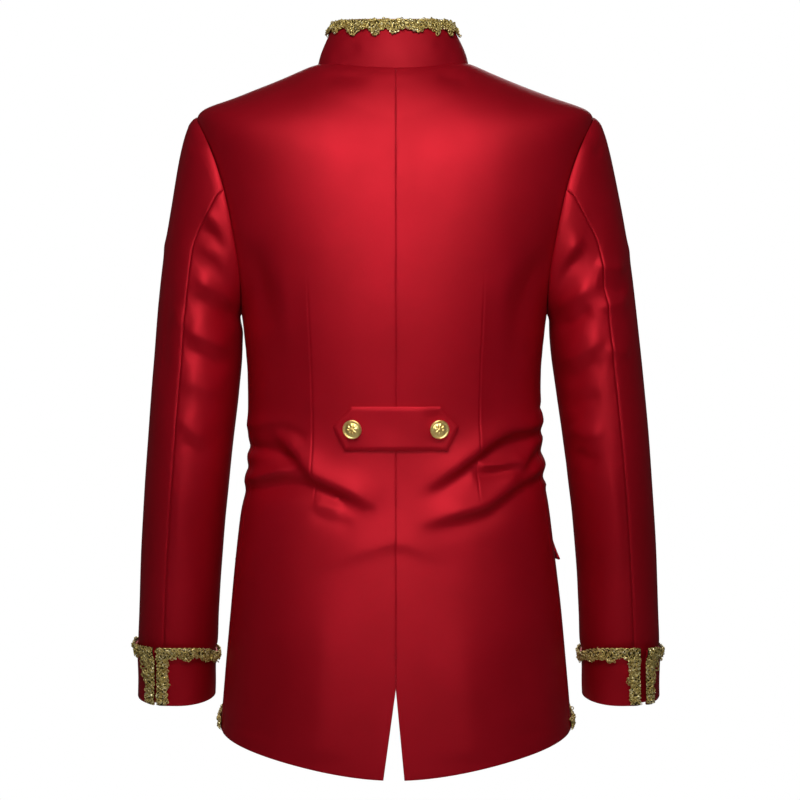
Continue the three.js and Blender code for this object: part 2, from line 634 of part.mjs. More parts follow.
// Front braid: down the front edge, round its lower corner and along the hem to the side seam. The under front's
// braid starts where the upper front leaves it.
const EDGE_BRAID = { top: 2, bottom: 640, turn: 700, underStart: 160 };

function frontBraid(side) {
  const surface = side.sign > 0 ? torso : torsoUnder;
  const edgeAngle = (down, inside) => {
    const ring = ringAt(down);
    return 180 + THREE.MathUtils.radToDeg(Math.asin((FRONT_LAP - BRAID.inset - inside) / (ring.mid - ring.fore)));
  };
  const grid = BRAID_ACROSS.map((share) => {
    const inside = share * BRAID.wide;
    const row = [];
    if (side.sign > 0) {
      for (const f of steps(26)) {
        const down = lerp(EDGE_BRAID.top, EDGE_BRAID.bottom, f);
        row.push([edgeAngle(down, inside), down]);
      }
    }
    const start = side.sign > 0 ? edgeAngle(EDGE_BRAID.turn, inside) - 1 : EDGE_BRAID.underStart;
    for (const f of steps(20)) {
      const angle = lerp(start, sideSeamAt(HEM).angle + 1, f);
      const pitch = lerp(HEM_PITCH.front, HEM_PITCH.side, f);
      row.push([side.sign * angle, frontHem(angle) - (BRAID.inset + inside) / pitch]);
    }
    return row;
  });
  return wallOn(surface, grid, BRAID.thick, { lift: BRAID_LIFT });
}

for (const side of SIDES) add(`braid_front_${side.name}`, frontBraid(side), BRAID_GOLD);

// ---------------------------------------------------------------- buttons
// A domed shank button: the profile runs up the shank, out under the rim and over the dome.
function buttonGeometry() {
  const { radius, shank, high, dome } = BUTTON;
  const head = high - dome;
  const profile = [
    [0, 0],
    [shank, 0],
    [shank, head],
    [radius - 1.2, head + 0.2],
    [radius, head + 1.2],
    [radius - 0.6, head + 2.4],
    [radius - 2.4, head + 2.2],
    [radius * 0.45, head + 3.6],
    [0, high],
  ].map(([x, y]) => new THREE.Vector2(x, y));
  return new THREE.LatheGeometry(profile, 12);
}

function addButton(name, surface, angle, down, lift) {
  const mesh = add(name, buttonGeometry(), BUTTON_GOLD);
  const normal = normalOf(surface, angle, down);
  mesh.position.copy(surface(angle, down).addScaledVector(normal, lift));
  mesh.quaternion.setFromUnitVectors(point(0, 1, 0), normal);
}

for (const side of SIDES) {
  const angle = angleAtX(side.sign * BELT.button, BELT.level);
  addButton(`button_back_${side.name}`, smoothTorso, angle, BELT.level, BELT_LIFT + BELT.thick + SEAM);
}
for (let i = 0; i < FRONT_BUTTONS.count; i += 1) {
  const down = lerp(FRONT_BUTTONS.first, FRONT_BUTTONS.last, i / (FRONT_BUTTONS.count - 1));
  addButton(`button_front_${i + 1}`, torso, 180, down, 2 * SEAM);
}

export default jacket;
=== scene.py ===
# %% [markdown]
# # A military parade jacket, seen from behind
#
# The jacket is shown in the shape it takes when it is worn, with nobody in it. Its body, sleeves and collar
# are satin panels, and everything else is sewn to them: a buttoned half belt, pocket flaps, cuffs, gilt
# buttons and a scalloped gold braid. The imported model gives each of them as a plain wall. This file dresses
# each wall with a finer piece of the same shape, because the folds, seams, threads and sheen are what make
# cloth look like cloth.
#
# Lengths are in millimetres until a mesh is made, when they are multiplied by MM. X is the wearer's left, Z
# is up, and the front faces -Y, so the back, which the camera sees, faces +Y.

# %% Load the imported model
import math

import bmesh
import bpy
import numpy as np
from mathutils import Matrix, Vector


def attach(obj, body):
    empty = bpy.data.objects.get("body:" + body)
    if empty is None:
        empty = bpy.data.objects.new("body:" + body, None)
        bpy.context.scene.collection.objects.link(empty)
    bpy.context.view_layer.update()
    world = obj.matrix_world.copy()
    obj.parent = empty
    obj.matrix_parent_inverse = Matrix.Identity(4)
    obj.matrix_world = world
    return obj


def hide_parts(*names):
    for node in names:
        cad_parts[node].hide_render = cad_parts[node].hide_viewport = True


MM = 0.001
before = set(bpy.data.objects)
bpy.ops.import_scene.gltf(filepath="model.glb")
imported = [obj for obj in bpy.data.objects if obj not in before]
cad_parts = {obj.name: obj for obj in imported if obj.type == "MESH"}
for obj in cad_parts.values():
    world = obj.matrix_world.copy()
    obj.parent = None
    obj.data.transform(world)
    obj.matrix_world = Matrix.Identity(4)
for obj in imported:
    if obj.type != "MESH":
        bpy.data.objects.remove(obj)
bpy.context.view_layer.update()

# %% [markdown]
# ## Camera
#
# A garment is usually shot from a few metres away with a short telephoto lens, so that it isn't distorted.
# The camera stands behind the jacket at the height of its middle and looks level along -Y.

# %% Set the camera
CAMERA_BEHIND = 2.3
CAMERA_LEVEL = -0.355
CAMERA_ASIDE = -0.0044
LENS = 94.1

camera_data = bpy.data.cameras.new("camera")
camera_data.lens = LENS
camera_data.sensor_width = 36
camera = bpy.data.objects.new("camera", camera_data)
bpy.context.scene.collection.objects.link(camera)
camera.location = (CAMERA_ASIDE, CAMERA_BEHIND, CAMERA_LEVEL)
camera.rotation_euler = (math.radians(90), 0, math.radians(180))
bpy.context.scene.camera = camera
print("camera at", tuple(camera.location), "lens", LENS)

# %% [markdown]
# ## Shader nodes as Python expressions
#
# A node graph is easier to read as a formula. `Wire` stands for one output socket, and arithmetic on wires
# adds Math nodes. `Finish` is a material: its `node` method adds any node, with its settings first and then
# its sockets.

# %% Helpers for materials
class Wire:
    """An output socket that can be used in arithmetic."""

    def __init__(self, finish, socket):
        self.finish, self.socket = finish, socket

    def maths(self, operation, *values):
        return self.finish.node("ShaderNodeMath", {"operation": operation}, dict(enumerate(values)))

    def __add__(self, other):
        return self.maths("ADD", self, other)

    def __mul__(self, other):
        return self.maths("MULTIPLY", self, other)

    __radd__ = __add__
    __rmul__ = __mul__


class Finish:
    """A node material."""

    def __init__(self, name):
        self.material = bpy.data.materials.new(name)
        self.material.use_nodes = True
        self.tree = self.material.node_tree
        self.tree.nodes.clear()

    def node(self, kind, settings=None, sockets=None, output=0):
        node = self.tree.nodes.new(kind)
        for key, value in (settings or {}).items():
            if key == "stops":
                for stop, (place, colour) in zip(node.color_ramp.elements, value):
                    stop.position, stop.color = place, (*colour, 1)
            else:
                setattr(node, key, value)
        for key, value in (sockets or {}).items():
            if isinstance(value, Wire):
                self.tree.links.new(value.socket, node.inputs[key])
            else:
                node.inputs[key].default_value = value
        return Wire(self, node.outputs[output])

    def place(self, space="Object"):
        return self.node("ShaderNodeTexCoord", output=space)

    def noise(self, place, scale, detail=2):
        return self.node("ShaderNodeTexNoise", {}, {"Vector": place, "Scale": scale, "Detail": detail})

    def shades(self, mask, *stops):
        return self.node("ShaderNodeValToRGB", {"stops": stops}, {0: mask})

    def bump(self, height, strength, distance):
        sockets = {"Height": height, "Strength": strength, "Distance": distance}
        return self.node("ShaderNodeBump", {}, sockets)

    def surface(self, **sockets):
        sockets = {name.replace("_", " "): value for name, value in sockets.items()}
        shader = self.node("ShaderNodeBsdfPrincipled", {}, sockets)
        ending = self.tree.nodes.new("ShaderNodeOutputMaterial")
        self.tree.links.new(shader.socket, ending.inputs["Surface"])
        return self.material

# %% [markdown]
# ## Satin
#
# Satin floats its warp threads over several weft threads, so light glances off it in a broad, coloured
# sheen, and a fold reads as a bright ridge above a dark hollow. A partly metallic base with a middling
# roughness gives that coloured sheen, and a fine weave in the bump breaks it up. The weave runs along the
# cloth's own UV map, which is in metres, so that it follows each panel. Noise on Object coordinates varies
# the dye. The collar has its own copy of the satin. Its base colour is painted a little darker, which is
# painted shade, and its higher roughness and lower metallic spread its sheen.

# %% Satin finishes
WARP, WEFT = 420, 330  # scales of the weave's ribs, across and along
SLUB_STRETCH = (2600, 260, 1)  # slubs are ten times as long as they are wide


def satin(name, deep, bright, roughness, metallic):
    finish = Finish(name)
    weave, body_place = finish.place("UV"), finish.place("Object")
    stretched = finish.node("ShaderNodeMapping", {}, {"Vector": weave, "Scale": SLUB_STRETCH})
    dye, slub = finish.noise(body_place, 14, 3), finish.noise(stretched, 1)
    ribs = []
    for way, count in (("X", WARP), ("Y", WEFT)):
        sockets = {"Vector": weave, "Scale": count, "Distortion": 1.2}
        ribs.append(finish.node("ShaderNodeTexWave", {"bands_direction": way}, sockets))
    return finish.surface(
        Base_Color=finish.shades(dye * 0.7 + slub * 0.3, (0.3, deep), (0.7, bright)),
        Roughness=finish.noise(body_place, 40) * 0.08 + (roughness - 0.04),
        Metallic=metallic,
        Specular_IOR_Level=0.25,
        Normal=finish.bump(ribs[0] * 0.6 + ribs[1] * 0.4 + slub * 0.8, 0.12, 0.0002),
    )


SATIN = satin("crimson satin", (0.40, 0.0016, 0.010), (0.47, 0.0026, 0.014), 0.545, 0.54)
# The collar's copy: its base colour is a little darker, as painted shade, and it is rougher and less
# metallic.
SHADED_COLLAR_SATIN = satin("crimson satin with painted shade", (0.38, 0.0016, 0.010), (0.45, 0.0026, 0.014), 0.64, 0.45)
print("satin finishes:", SATIN.name, "and", SHADED_COLLAR_SATIN.name)

# %% [markdown]
# ## Studio
#
# The jacket hangs over a pale round floor in a white room. The room is pure white to the camera and dimmer
# to the cloth, so the background stays clean while the folds keep their contrast. A large soft light hangs
# above, between the camera and the jacket, and makes the sheen. A weak one just behind the camera lifts
# what faces it, and a third keeps the front readable.

# %% Lights, room and floor
ROOM_LIGHT = 0.05
FLOOR_DEPTH, FLOOR_RADIUS = 1.0, 0.9


def soft_light(name, place, toward, size, watts, spread):
    data = bpy.data.lights.new(name, "AREA")
    data.shape, data.size, data.energy, data.spread = "DISK", size, watts, math.radians(spread)
    light = bpy.data.objects.new(name, data)
    bpy.context.scene.collection.objects.link(light)
    light.location = place
    light.rotation_euler = (Vector(toward) - Vector(place)).to_track_quat("-Z", "Y").to_euler()


soft_light("key", (0.02, 1.5, 0.72), (0, 0, -0.25), 0.95, 5.1, 82)
soft_light("camera side", (0.05, 2.6, -0.3), (0, 0, -0.33), 0.6, 0.22, 17)
soft_light("front fill", (-0.2, -2.8, 0.7), (0, 0, -0.35), 1.6, 30, 180)

world = bpy.data.worlds.new("white room")
world.use_nodes = True
bpy.context.scene.world = world
room = world.node_tree
room.nodes.clear()
mix = room.nodes.new("ShaderNodeMixShader")
ray = room.nodes.new("ShaderNodeLightPath")
room.links.new(ray.outputs["Is Camera Ray"], mix.inputs[0])
for i, strength in ((1, ROOM_LIGHT), (2, 1)):
    white = room.nodes.new("ShaderNodeBackground")
    white.inputs["Color"].default_value = (1, 1, 1, 1)
    white.inputs["Strength"].default_value = strength
    room.links.new(white.outputs[0], mix.inputs[i])
ending = room.nodes.new("ShaderNodeOutputWorld")
room.links.new(mix.outputs[0], ending.inputs["Surface"])
bpy.context.scene.view_settings.view_transform = "Standard"

floor_mesh = bpy.data.meshes.new("floor")
bm = bmesh.new()
bmesh.ops.create_circle(bm, cap_ends=True, segments=96, radius=FLOOR_RADIUS)
bmesh.ops.translate(bm, vec=(0, 0, -FLOOR_DEPTH), verts=bm.verts)
bm.to_mesh(floor_mesh)
bm.free()
floor = bpy.data.objects.new("floor", floor_mesh)
bpy.context.scene.collection.objects.link(floor)
pale = Finish("pale floor")
patches = pale.noise(pale.place(), 30)
floor.data.materials.append(
    pale.surface(Base_Color=pale.shades(patches, (0, (0.8, 0.8, 0.79)), (1, (0.84, 0.84, 0.83))))
)
print("floor", FLOOR_DEPTH, "m below the neck")

# %% [markdown]
# ## The shape of a worn body
#
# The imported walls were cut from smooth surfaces: rings of the body, rings of the arm, and a collar between
# two rings. The same rings are set out here, so a finer piece lies where its wall lies. `Table` runs a
# smooth curve through each column of a table, without overshooting its rows.

# %% Tables and rings
def lerp(a, b, t):
    return a + (b - a) * t


def smoothstep(x, low, high):
    t = np.clip((x - low) / (high - low), 0, 1)
    return t * t * (3 - 2 * t)


def sin_deg(angle):
    return np.sin(np.radians(angle))


def cos_deg(angle):
    return np.cos(np.radians(angle))


class Table:
    """Smooth curves through a table's columns, along its first column."""

    def __init__(self, columns, *rows):
        self.columns = columns.split()
        self.rows = np.array(rows, float)
        gap = np.diff(self.rows[:, 0])[:, None]
        slope = np.diff(self.rows, axis=0) / gap
        before, after = slope[:-1], slope[1:]
        agree = before * after > 0
        middle = np.where(agree, 2 * before * after / np.where(agree, before + after, 1), 0)
        self.tangents = np.vstack([slope[:1], middle, slope[-1:]])

    def __call__(self, at):
        keys = self.rows[:, 0]
        at = np.clip(at, keys[0], keys[-1])
        i = np.clip(np.searchsorted(keys, at) - 1, 0, len(keys) - 2)
        gap = (keys[i + 1] - keys[i])[..., None]
        t = (at - keys[i])[..., None] / gap
        a, b = self.rows[i], self.rows[i + 1]
        ta, tb = self.tangents[i] * gap, self.tangents[i + 1] * gap
        found = (1 + 2 * t) * (1 - t) ** 2 * a + t * (1 - t) ** 2 * ta
        found = found + t * t * (3 - 2 * t) * b + t * t * (t - 1) * tb
        return {name: found[..., k] for k, name in enumerate(self.columns)}


SIDES = (("left", 1), ("right", -1))
# Drops from the neck seam.
SHOULDER_TIP, UNDERARM, VENT_TOP, HEM = 120, 262, 660, 754
VENT_OPEN = {1: 13, -1: 9}  # how far each tail swings aside at the hem
CLOTH = 2

# Rings of the body. down: drop at the centre back. side, front: heights of the ring there. half, back, fore,
# mid: its reach in X and Y. square: how boxy it is. ease: how its height passes from a side to the middle.
# shift: how far its sides lie towards the wearer's left.
body_ring = Table(
    "down side front half back fore mid square ease shift",
    (0, 14, -75, 84, 70, -70, -3, 2.1, 1.7, 3),
    (45, -5, -98, 130, 91, -98, -8, 2.3, 1.7, 3),
    (82, -23, -122, 176, 102, -118, -13, 2.5, 1.8, 2),
    (SHOULDER_TIP, -42, -150, 220, 108, -130, -18, 2.4, 1.8, 1),
    (190, -150, -195, 205, 112, -140, -18, 2.4, 1.7, 1),
    (UNDERARM, -262, -262, 168, 108, -145, -18, 2.45, 1.7, 2),
    (340, -340, -338, 162, 93, -141, -22, 2.4, 1.7, 2),
    (420, -418, -412, 164, 80, -136, -26, 2.3, 1.6, 1),
    (500, -493, -480, 173, 88, -140, -24, 2.3, 1.5, 1),
    (600, -586, -560, 183, 100, -146, -22, 2.3, 1.4, 0),
    (HEM, -712, -650, 194, 110, -152, -20, 2.3, 1.2, 0),
)
side_seam = Table("down angle", (UNDERARM, 87), (430, 77), (HEM, 80))
# Rings of the arm. along: distance down the outer fold. outX, outZ, inX, inZ: the ring's ends at its outer
# and inner fold. mid, deep: its middle and half its depth in Y. tilt: degrees by which its back dips.
arm_ring = Table(
    "along outX outZ inX inZ mid deep tilt",
    (0, 217, -40, 166, -262, -18, 68, 0),
    (12, 227, -50, 168, -264, -18, 70, 0),
    (60, 240, -98, 169.5, -271, -18, 72, 0),
    (120, 251, -157, 170, -286, -17, 72, 0),
    (190, 261, -226, 171, -308, -16, 70, 1),
    (260, 267.5, -296, 175, -346, -15, 67, 2),
    (330, 273.5, -366, 181, -394, -15, 64, 4),
    (410, 280, -446, 188.5, -458, -21, 60, 6),
    (490, 286, -526, 195.5, -528, -33, 54, 8),
    (560, 290, -597, 201, -596, -45, 49.5, 9),
    (592, 291.5, -626, 202.5, -626, -51, 47.5, 9),
    (606, 288.5, -639, 206.5, -639, -53, 43.5, 9),
    (660, 290, -692, 210, -692, -62, 42.5, 9),
)
CAP_FADE = 110  # over this length the sleeve leaves the armhole's own shape
ARM_SWING = {1: -2, -1: 4}  # how far each sleeve hangs outwards, below its cap


def on_ring(ring, angle, z):
    """The point at an angle on a ring, from the centre back towards the wearer's left."""
    s, c = sin_deg(angle), cos_deg(angle)
    deep = np.where(c >= 0, ring["back"] - ring["mid"], ring["mid"] - ring["fore"])
    n = ring["square"]
    reach = ((np.abs(s) / ring["half"]) ** n + (np.abs(c) / deep) ** n) ** (-1 / n)
    return np.stack([reach * s + ring["shift"] * s * s, ring["mid"] + reach * c, z + 0 * s], axis=-1)


def ring_height(side, end, angle, ease):
    return side + (end - side) * np.abs(cos_deg(angle)) ** ease


def plain_body(angle, down):
    ring = body_ring(down)
    end = np.where(cos_deg(angle) >= 0, -down, ring["front"])
    return on_ring(ring, angle, ring_height(ring["side"], end, angle, ring["ease"]))


BLEND_AT_SIDE, BLEND_AT_MIDDLE = 14, 56


def body(angle, down):
    """The jacket's outer face: angle in degrees from the centre back, and drop from the neck seam. It is a
    mean over a stretch of drop, which rounds the shoulder."""
    angle, down = np.broadcast_arrays(np.asarray(angle, float), np.asarray(down, float))
    blend = lerp(BLEND_AT_SIDE, BLEND_AT_MIDDLE, cos_deg(angle) ** 2)
    reach = np.maximum(0, np.minimum(blend, np.minimum(down, HEM - down)))
    mean = 0
    for share, weight in ((-1, 1), (-0.5, 2), (0, 3), (0.5, 2), (1, 1)):
        mean = mean + plain_body(angle, down + share * reach) * weight / 9
    return mean


def normal_of(surface, u, v, sign=1):
    u, v = np.broadcast_arrays(np.asarray(u, float), np.asarray(v, float))
    across = surface(u + 0.5, v) - surface(u - 0.5, v)
    along = surface(u, v + 1.5) - surface(u, v - 1.5)
    normal = np.cross(across, along) * sign
    return normal / np.linalg.norm(normal, axis=-1, keepdims=True)


def faced(surface, u, v, sign=1):
    """Points of a surface, and its normals there."""
    return surface(u, v), normal_of(surface, u, v, sign)


FRONT_LAP = 22
TUCK_BY, TUCK_OVER = 3, 24


def body_under(angle, down):
    """The same face where the right front passes under the left one."""
    place = body(angle, down)
    tuck = TUCK_BY * smoothstep(place[..., 0], -FRONT_LAP - 2 - TUCK_OVER, -FRONT_LAP - 2)
    tuck = np.where(cos_deg(angle) > 0, 0, tuck)
    return place - normal_of(body, angle, np.clip(down, 0, HEM)) * tuck[..., None]


ARMHOLE_BACK, ARMHOLE_FRONT = 22, 23


def armhole_drop(turn):
    return lerp(SHOULDER_TIP, UNDERARM, (1 - cos_deg(turn)) / 2)


def armhole_angle(turn):
    """turn runs from the shoulder tip, 0, over the back, 90, to the underarm, 180."""
    swing = sin_deg(turn)
    middle = lerp(90, side_seam(np.asarray(float(UNDERARM)))["angle"], (1 - cos_deg(turn)) / 2)
    return middle - swing * np.where(swing > 0, ARMHOLE_BACK, ARMHOLE_FRONT)


def armhole(sign, turn):
    return body(sign * armhole_angle(turn), armhole_drop(turn))


def plain_arm(turn, along):
    arm = arm_ring(along)
    c, s = cos_deg(turn), sin_deg(turn)
    x = (arm["outX"] + arm["inX"]) / 2 + c * (arm["outX"] - arm["inX"]) / 2
    y = arm["mid"] + s * arm["deep"] * cos_deg(arm["tilt"])
    z = (arm["outZ"] + arm["inZ"]) / 2 + c * (arm["outZ"] - arm["inZ"]) / 2
    return np.stack([x, y, z - s * arm["deep"] * sin_deg(arm["tilt"])], axis=-1)


def sleeve(sign):
    """The sleeve's outer face: turn in degrees from its outer fold over the back, and distance down it."""

    def surface(turn, along):
        turn, along = np.broadcast_arrays(np.asarray(turn, float), np.asarray(along, float))
        mirror = np.array([sign, 1, 1])
        place = plain_arm(turn, along)
        place[..., 0] += ARM_SWING[sign] * smoothstep(along, CAP_FADE / 2, CAP_FADE * 4)
        keep = 1 - smoothstep(np.maximum(0, along), 0, CAP_FADE)
        start = armhole(sign, turn) - plain_arm(turn, 0 * along) * mirror
        return place * mirror + start * keep[..., None]

    return surface


print("body at the waist:", body(0, 420).round(1), "sleeve at the elbow:", sleeve(1)(75, 330).round(1))

# %% [markdown]
# ## Cloth from a grid
#
# A panel starts as a flat grid and its corners are moved onto the garment's surface. A Solidify modifier
# then gives it the cloth's thickness on the inside, and a small bevel rounds its folded edges. The UV map
# holds the distances across and along the panel in metres, for the weave.

# %% Helpers for cloth
def measured(points, axis):
    """Distance travelled along one axis of a grid of points."""
    step = np.linalg.norm(np.diff(points, axis=axis), axis=-1)
    start = np.zeros_like(np.take(step, [0], axis=axis))
    return np.cumsum(np.concatenate([start, step], axis=axis), axis=axis)


def grid_mesh(name, points, outward):
    """A mesh of quads with its corners at `points` (rows x columns x 3), facing along `outward`."""
    rows, columns = points.shape[:2]
    bm = bmesh.new()
    bmesh.ops.create_grid(bm, x_segments=columns - 1, y_segments=rows - 1, size=1)
    bm.verts.index_update()
    bm.faces.ensure_lookup_table()
    for vert, place in zip(bm.verts, points.reshape(-1, 3) * MM):
        vert.co = place
    across, along = measured(points, 1).ravel() * MM, measured(points, 0).ravel() * MM
    weave = bm.loops.layers.uv.new("weave")
    for face in bm.faces:
        face.smooth = True
        for loop in face.loops:
            loop[weave].uv = (across[loop.vert.index], along[loop.vert.index])
    bm.normal_update()
    middle = bm.faces[len(bm.faces) // 2]
    if middle.normal.dot(Vector(outward.reshape(-1, 3)[middle.verts[0].index])) < 0:
        bmesh.ops.reverse_faces(bm, faces=bm.faces)
    mesh = bpy.data.meshes.new(name)
    bm.to_mesh(mesh)
    bm.free()
    return mesh


def shown(name, mesh, material, *nodes, slot="satin"):
    """An object that rides on the jacket's body and stands for the named nodes."""
    piece = bpy.data.objects.new(name, mesh)
    bpy.context.scene.collection.objects.link(piece)
    piece.data.materials.append(material)
    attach(piece, "root")
    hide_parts(*nodes)
    return piece


def satin_piece(node, place, normal, relief, thick=CLOTH, round_by=0.35, material=SATIN):
    """A satin wall for a node. Its outer face stands off `place` by the relief, and it is thick inwards."""
    mesh = grid_mesh(node.replace("_", " "), place + normal * relief[..., None], normal)
    piece = shown(f"satin_{node}", mesh, material, node)
    wall = piece.modifiers.new("cloth thickness", "SOLIDIFY")
    wall.thickness, wall.offset, wall.use_even_offset = thick * MM, -1, False
    edge = piece.modifiers.new("soft edge", "BEVEL")
    edge.width, edge.segments = round_by * MM, 2
    edge.limit_method, edge.angle_limit = "ANGLE", math.radians(55)
    print(piece.name, "area", round(sum(face.area for face in mesh.polygons), 4))
    return piece


def seam_groove(distance, deep=0.9, wide=1.5):
    """The hollow that a seam's stitches pull into the cloth."""
    return -deep * np.exp(-((distance / wide) ** 2))


def gathered(count, spans=1, pull=0.7):
    """Shares from 0 to 1 with their steps bunched at both ends of each span."""
    share = np.linspace(0, 1, count)
    return share - pull * np.sin(2 * math.pi * spans * share) / (2 * math.pi * spans)


PUCKER = 0.22


def ripples(along, slow, slower, quick):
    """The ripples that tight stitches draw up beside a seam, from three waves (length, start)."""
    waves = [np.sin(along / length + start) for length, start in (slow, slower, quick)]
    return PUCKER * (waves[0] * waves[1] + 0.6 * waves[2])

# %% [markdown]
# ## Creases
#
# A crease is a soft ridge or hollow along a bent line. It is drawn on the back or the front of the garment
# as a line of (x, z) points, with a rise, and a reach above and below: a short reach below gives the sharp
# under-edge of a fold that the cloth's weight pulls down. `at_start` and `at_end` are the shares of its
# length over which it dies away, and `stub` is what is left of it where it starts at a seam. `CRISP` shapes
# its profile: 2 would be a smooth bell, and a smaller power makes the fold's top keener, as on a stiff
# satin. Sculpting would place such folds by eye, and a cloth simulation would let them fall where they
# like. A list of drawn lines can be read, moved and made again just the same.

# %% Crease helper
CRISP = 1.65
PATH_POINTS = 28
FADE_OUT = 2.6  # a crease is next to nothing past this many times its reach
TURNED_AWAY, TURNED_TOWARDS = -0.35, 0.1  # it fades between these as the cloth turns away from its side


class Crease:
    """A ridge, or a hollow where the rise is negative."""

    def __init__(self, line, rise, above, below=None, at_start=0.3, at_end=0.3, face="back", stub=0.0):
        self.rise, self.above, self.below = rise, above, below or above
        self.at_start, self.at_end, self.stub = at_start, at_end, stub
        self.facing = 1 if face == "back" else -1
        line = np.array(line, float)
        length = np.concatenate([[0], np.cumsum(np.linalg.norm(np.diff(line, axis=0), axis=1))])
        through = Table("at x z", *[(at, x, z) for at, (x, z) in zip(length, line)])
        stops = through(np.linspace(0, length[-1], PATH_POINTS))
        self.path = np.stack([stops["x"], stops["z"]], axis=-1)

    def height(self, place, facing):
        """The crease's height at points of the cloth that face the back (1) or the front (-1)."""
        spots = place[..., [0, 2]].reshape(-1, 2)
        facing = facing.ravel() * self.facing
        height = np.zeros(len(spots))
        reach = FADE_OUT * max(self.above, self.below)
        low, high = self.path.min(axis=0) - reach, self.path.max(axis=0) + reach
        near = np.all((spots > low) & (spots < high), axis=1) & (facing > TURNED_AWAY)
        if not near.any():
            return height.reshape(place.shape[:-1])
        start, step = self.path[:-1], np.diff(self.path, axis=0)
        offset = spots[near][:, None, :] - start
        t = np.clip((offset * step).sum(-1) / (step**2).sum(-1), 0, 1)
        away = offset - t[..., None] * step
        distance = np.linalg.norm(away, axis=-1)
        best = distance.argmin(axis=1)
        pick = np.arange(len(best))
        up = np.stack([-step[:, 1], step[:, 0]], axis=-1)
        up *= np.sign(up[:, 1:2] + 1e-9)
        side = (away[pick, best] * up[best]).sum(-1) > 0
        width = np.where(side, self.above, self.below)
        share = (best + t[pick, best]) / len(step)
        fade = lerp(self.stub, 1, smoothstep(share, 0, self.at_start))
        fade = fade * smoothstep(1 - share, 0, self.at_end)
        turned = smoothstep(facing[near], TURNED_AWAY, TURNED_TOWARDS)
        height[near] = self.rise * fade * turned * np.exp(-((distance[pick, best] / width) ** CRISP))
        return height.reshape(place.shape[:-1])


def creased(creases, place, normal):
    return sum(crease.height(place, normal[..., 1]) for crease in creases)

# %% [markdown]
# ## Creases of the body
#
# A fitted jacket is too long for the hollow of the back, so spare cloth settles in slanting folds at the
# waist. They start at the side seams and run down to the middle, under and beside the half belt. The
# deepest fold on each side is followed by smaller ones. Long soft hollows run down from the armholes, and
# the front has shallow drag lines. Each line below was drawn along the fold's top or the hollow's bottom,
# as seen from straight behind or in front.

# %% Folds at the waist, armholes and front
LEFT_FOLD = [
    (140, -381), (121, -398), (106, -412), (97, -424), (87, -435), (73, -443), (49, -453),
    (25, -465), (6, -472),
]
LEFT_HOLLOW = [(170, -406), (149, -408), (130, -411), (112, -419), (98, -431)]
LEFT_LOW_HOLLOW = [
    (170, -456), (152, -450), (131, -446), (109, -445), (92, -447), (76, -452), (60, -459),
    (42, -468), (22, -476),
]
RIGHT_FOLD = [
    (-168, -374), (-142, -385), (-127, -387), (-114, -392), (-101, -400),
    (-88, -410), (-70, -424), (-42, -442), (-18, -453),
]
RIGHT_HOLLOW = [
    (-168, -388), (-142, -395), (-127, -398), (-114, -403), (-101, -411),
    (-88, -420), (-70, -434), (-42, -452), (-20, -461),
]
RIGHT_LOW_FOLD = [
    (-170, -422), (-150, -432), (-133, -442), (-120, -451), (-109, -459),
    (-98, -466), (-86, -471), (-65, -476), (-13, -489),
]
RIGHT_LOW_HOLLOW = [
    (-170, -438), (-150, -445), (-134, -453), (-121, -461), (-110, -469),
    (-98, -477), (-86, -481), (-65, -486), (-13, -498),
]
RIGHT_SPLIT = [(-168, -392), (-149, -404), (-137, -424), (-122, -439), (-107, -451)]
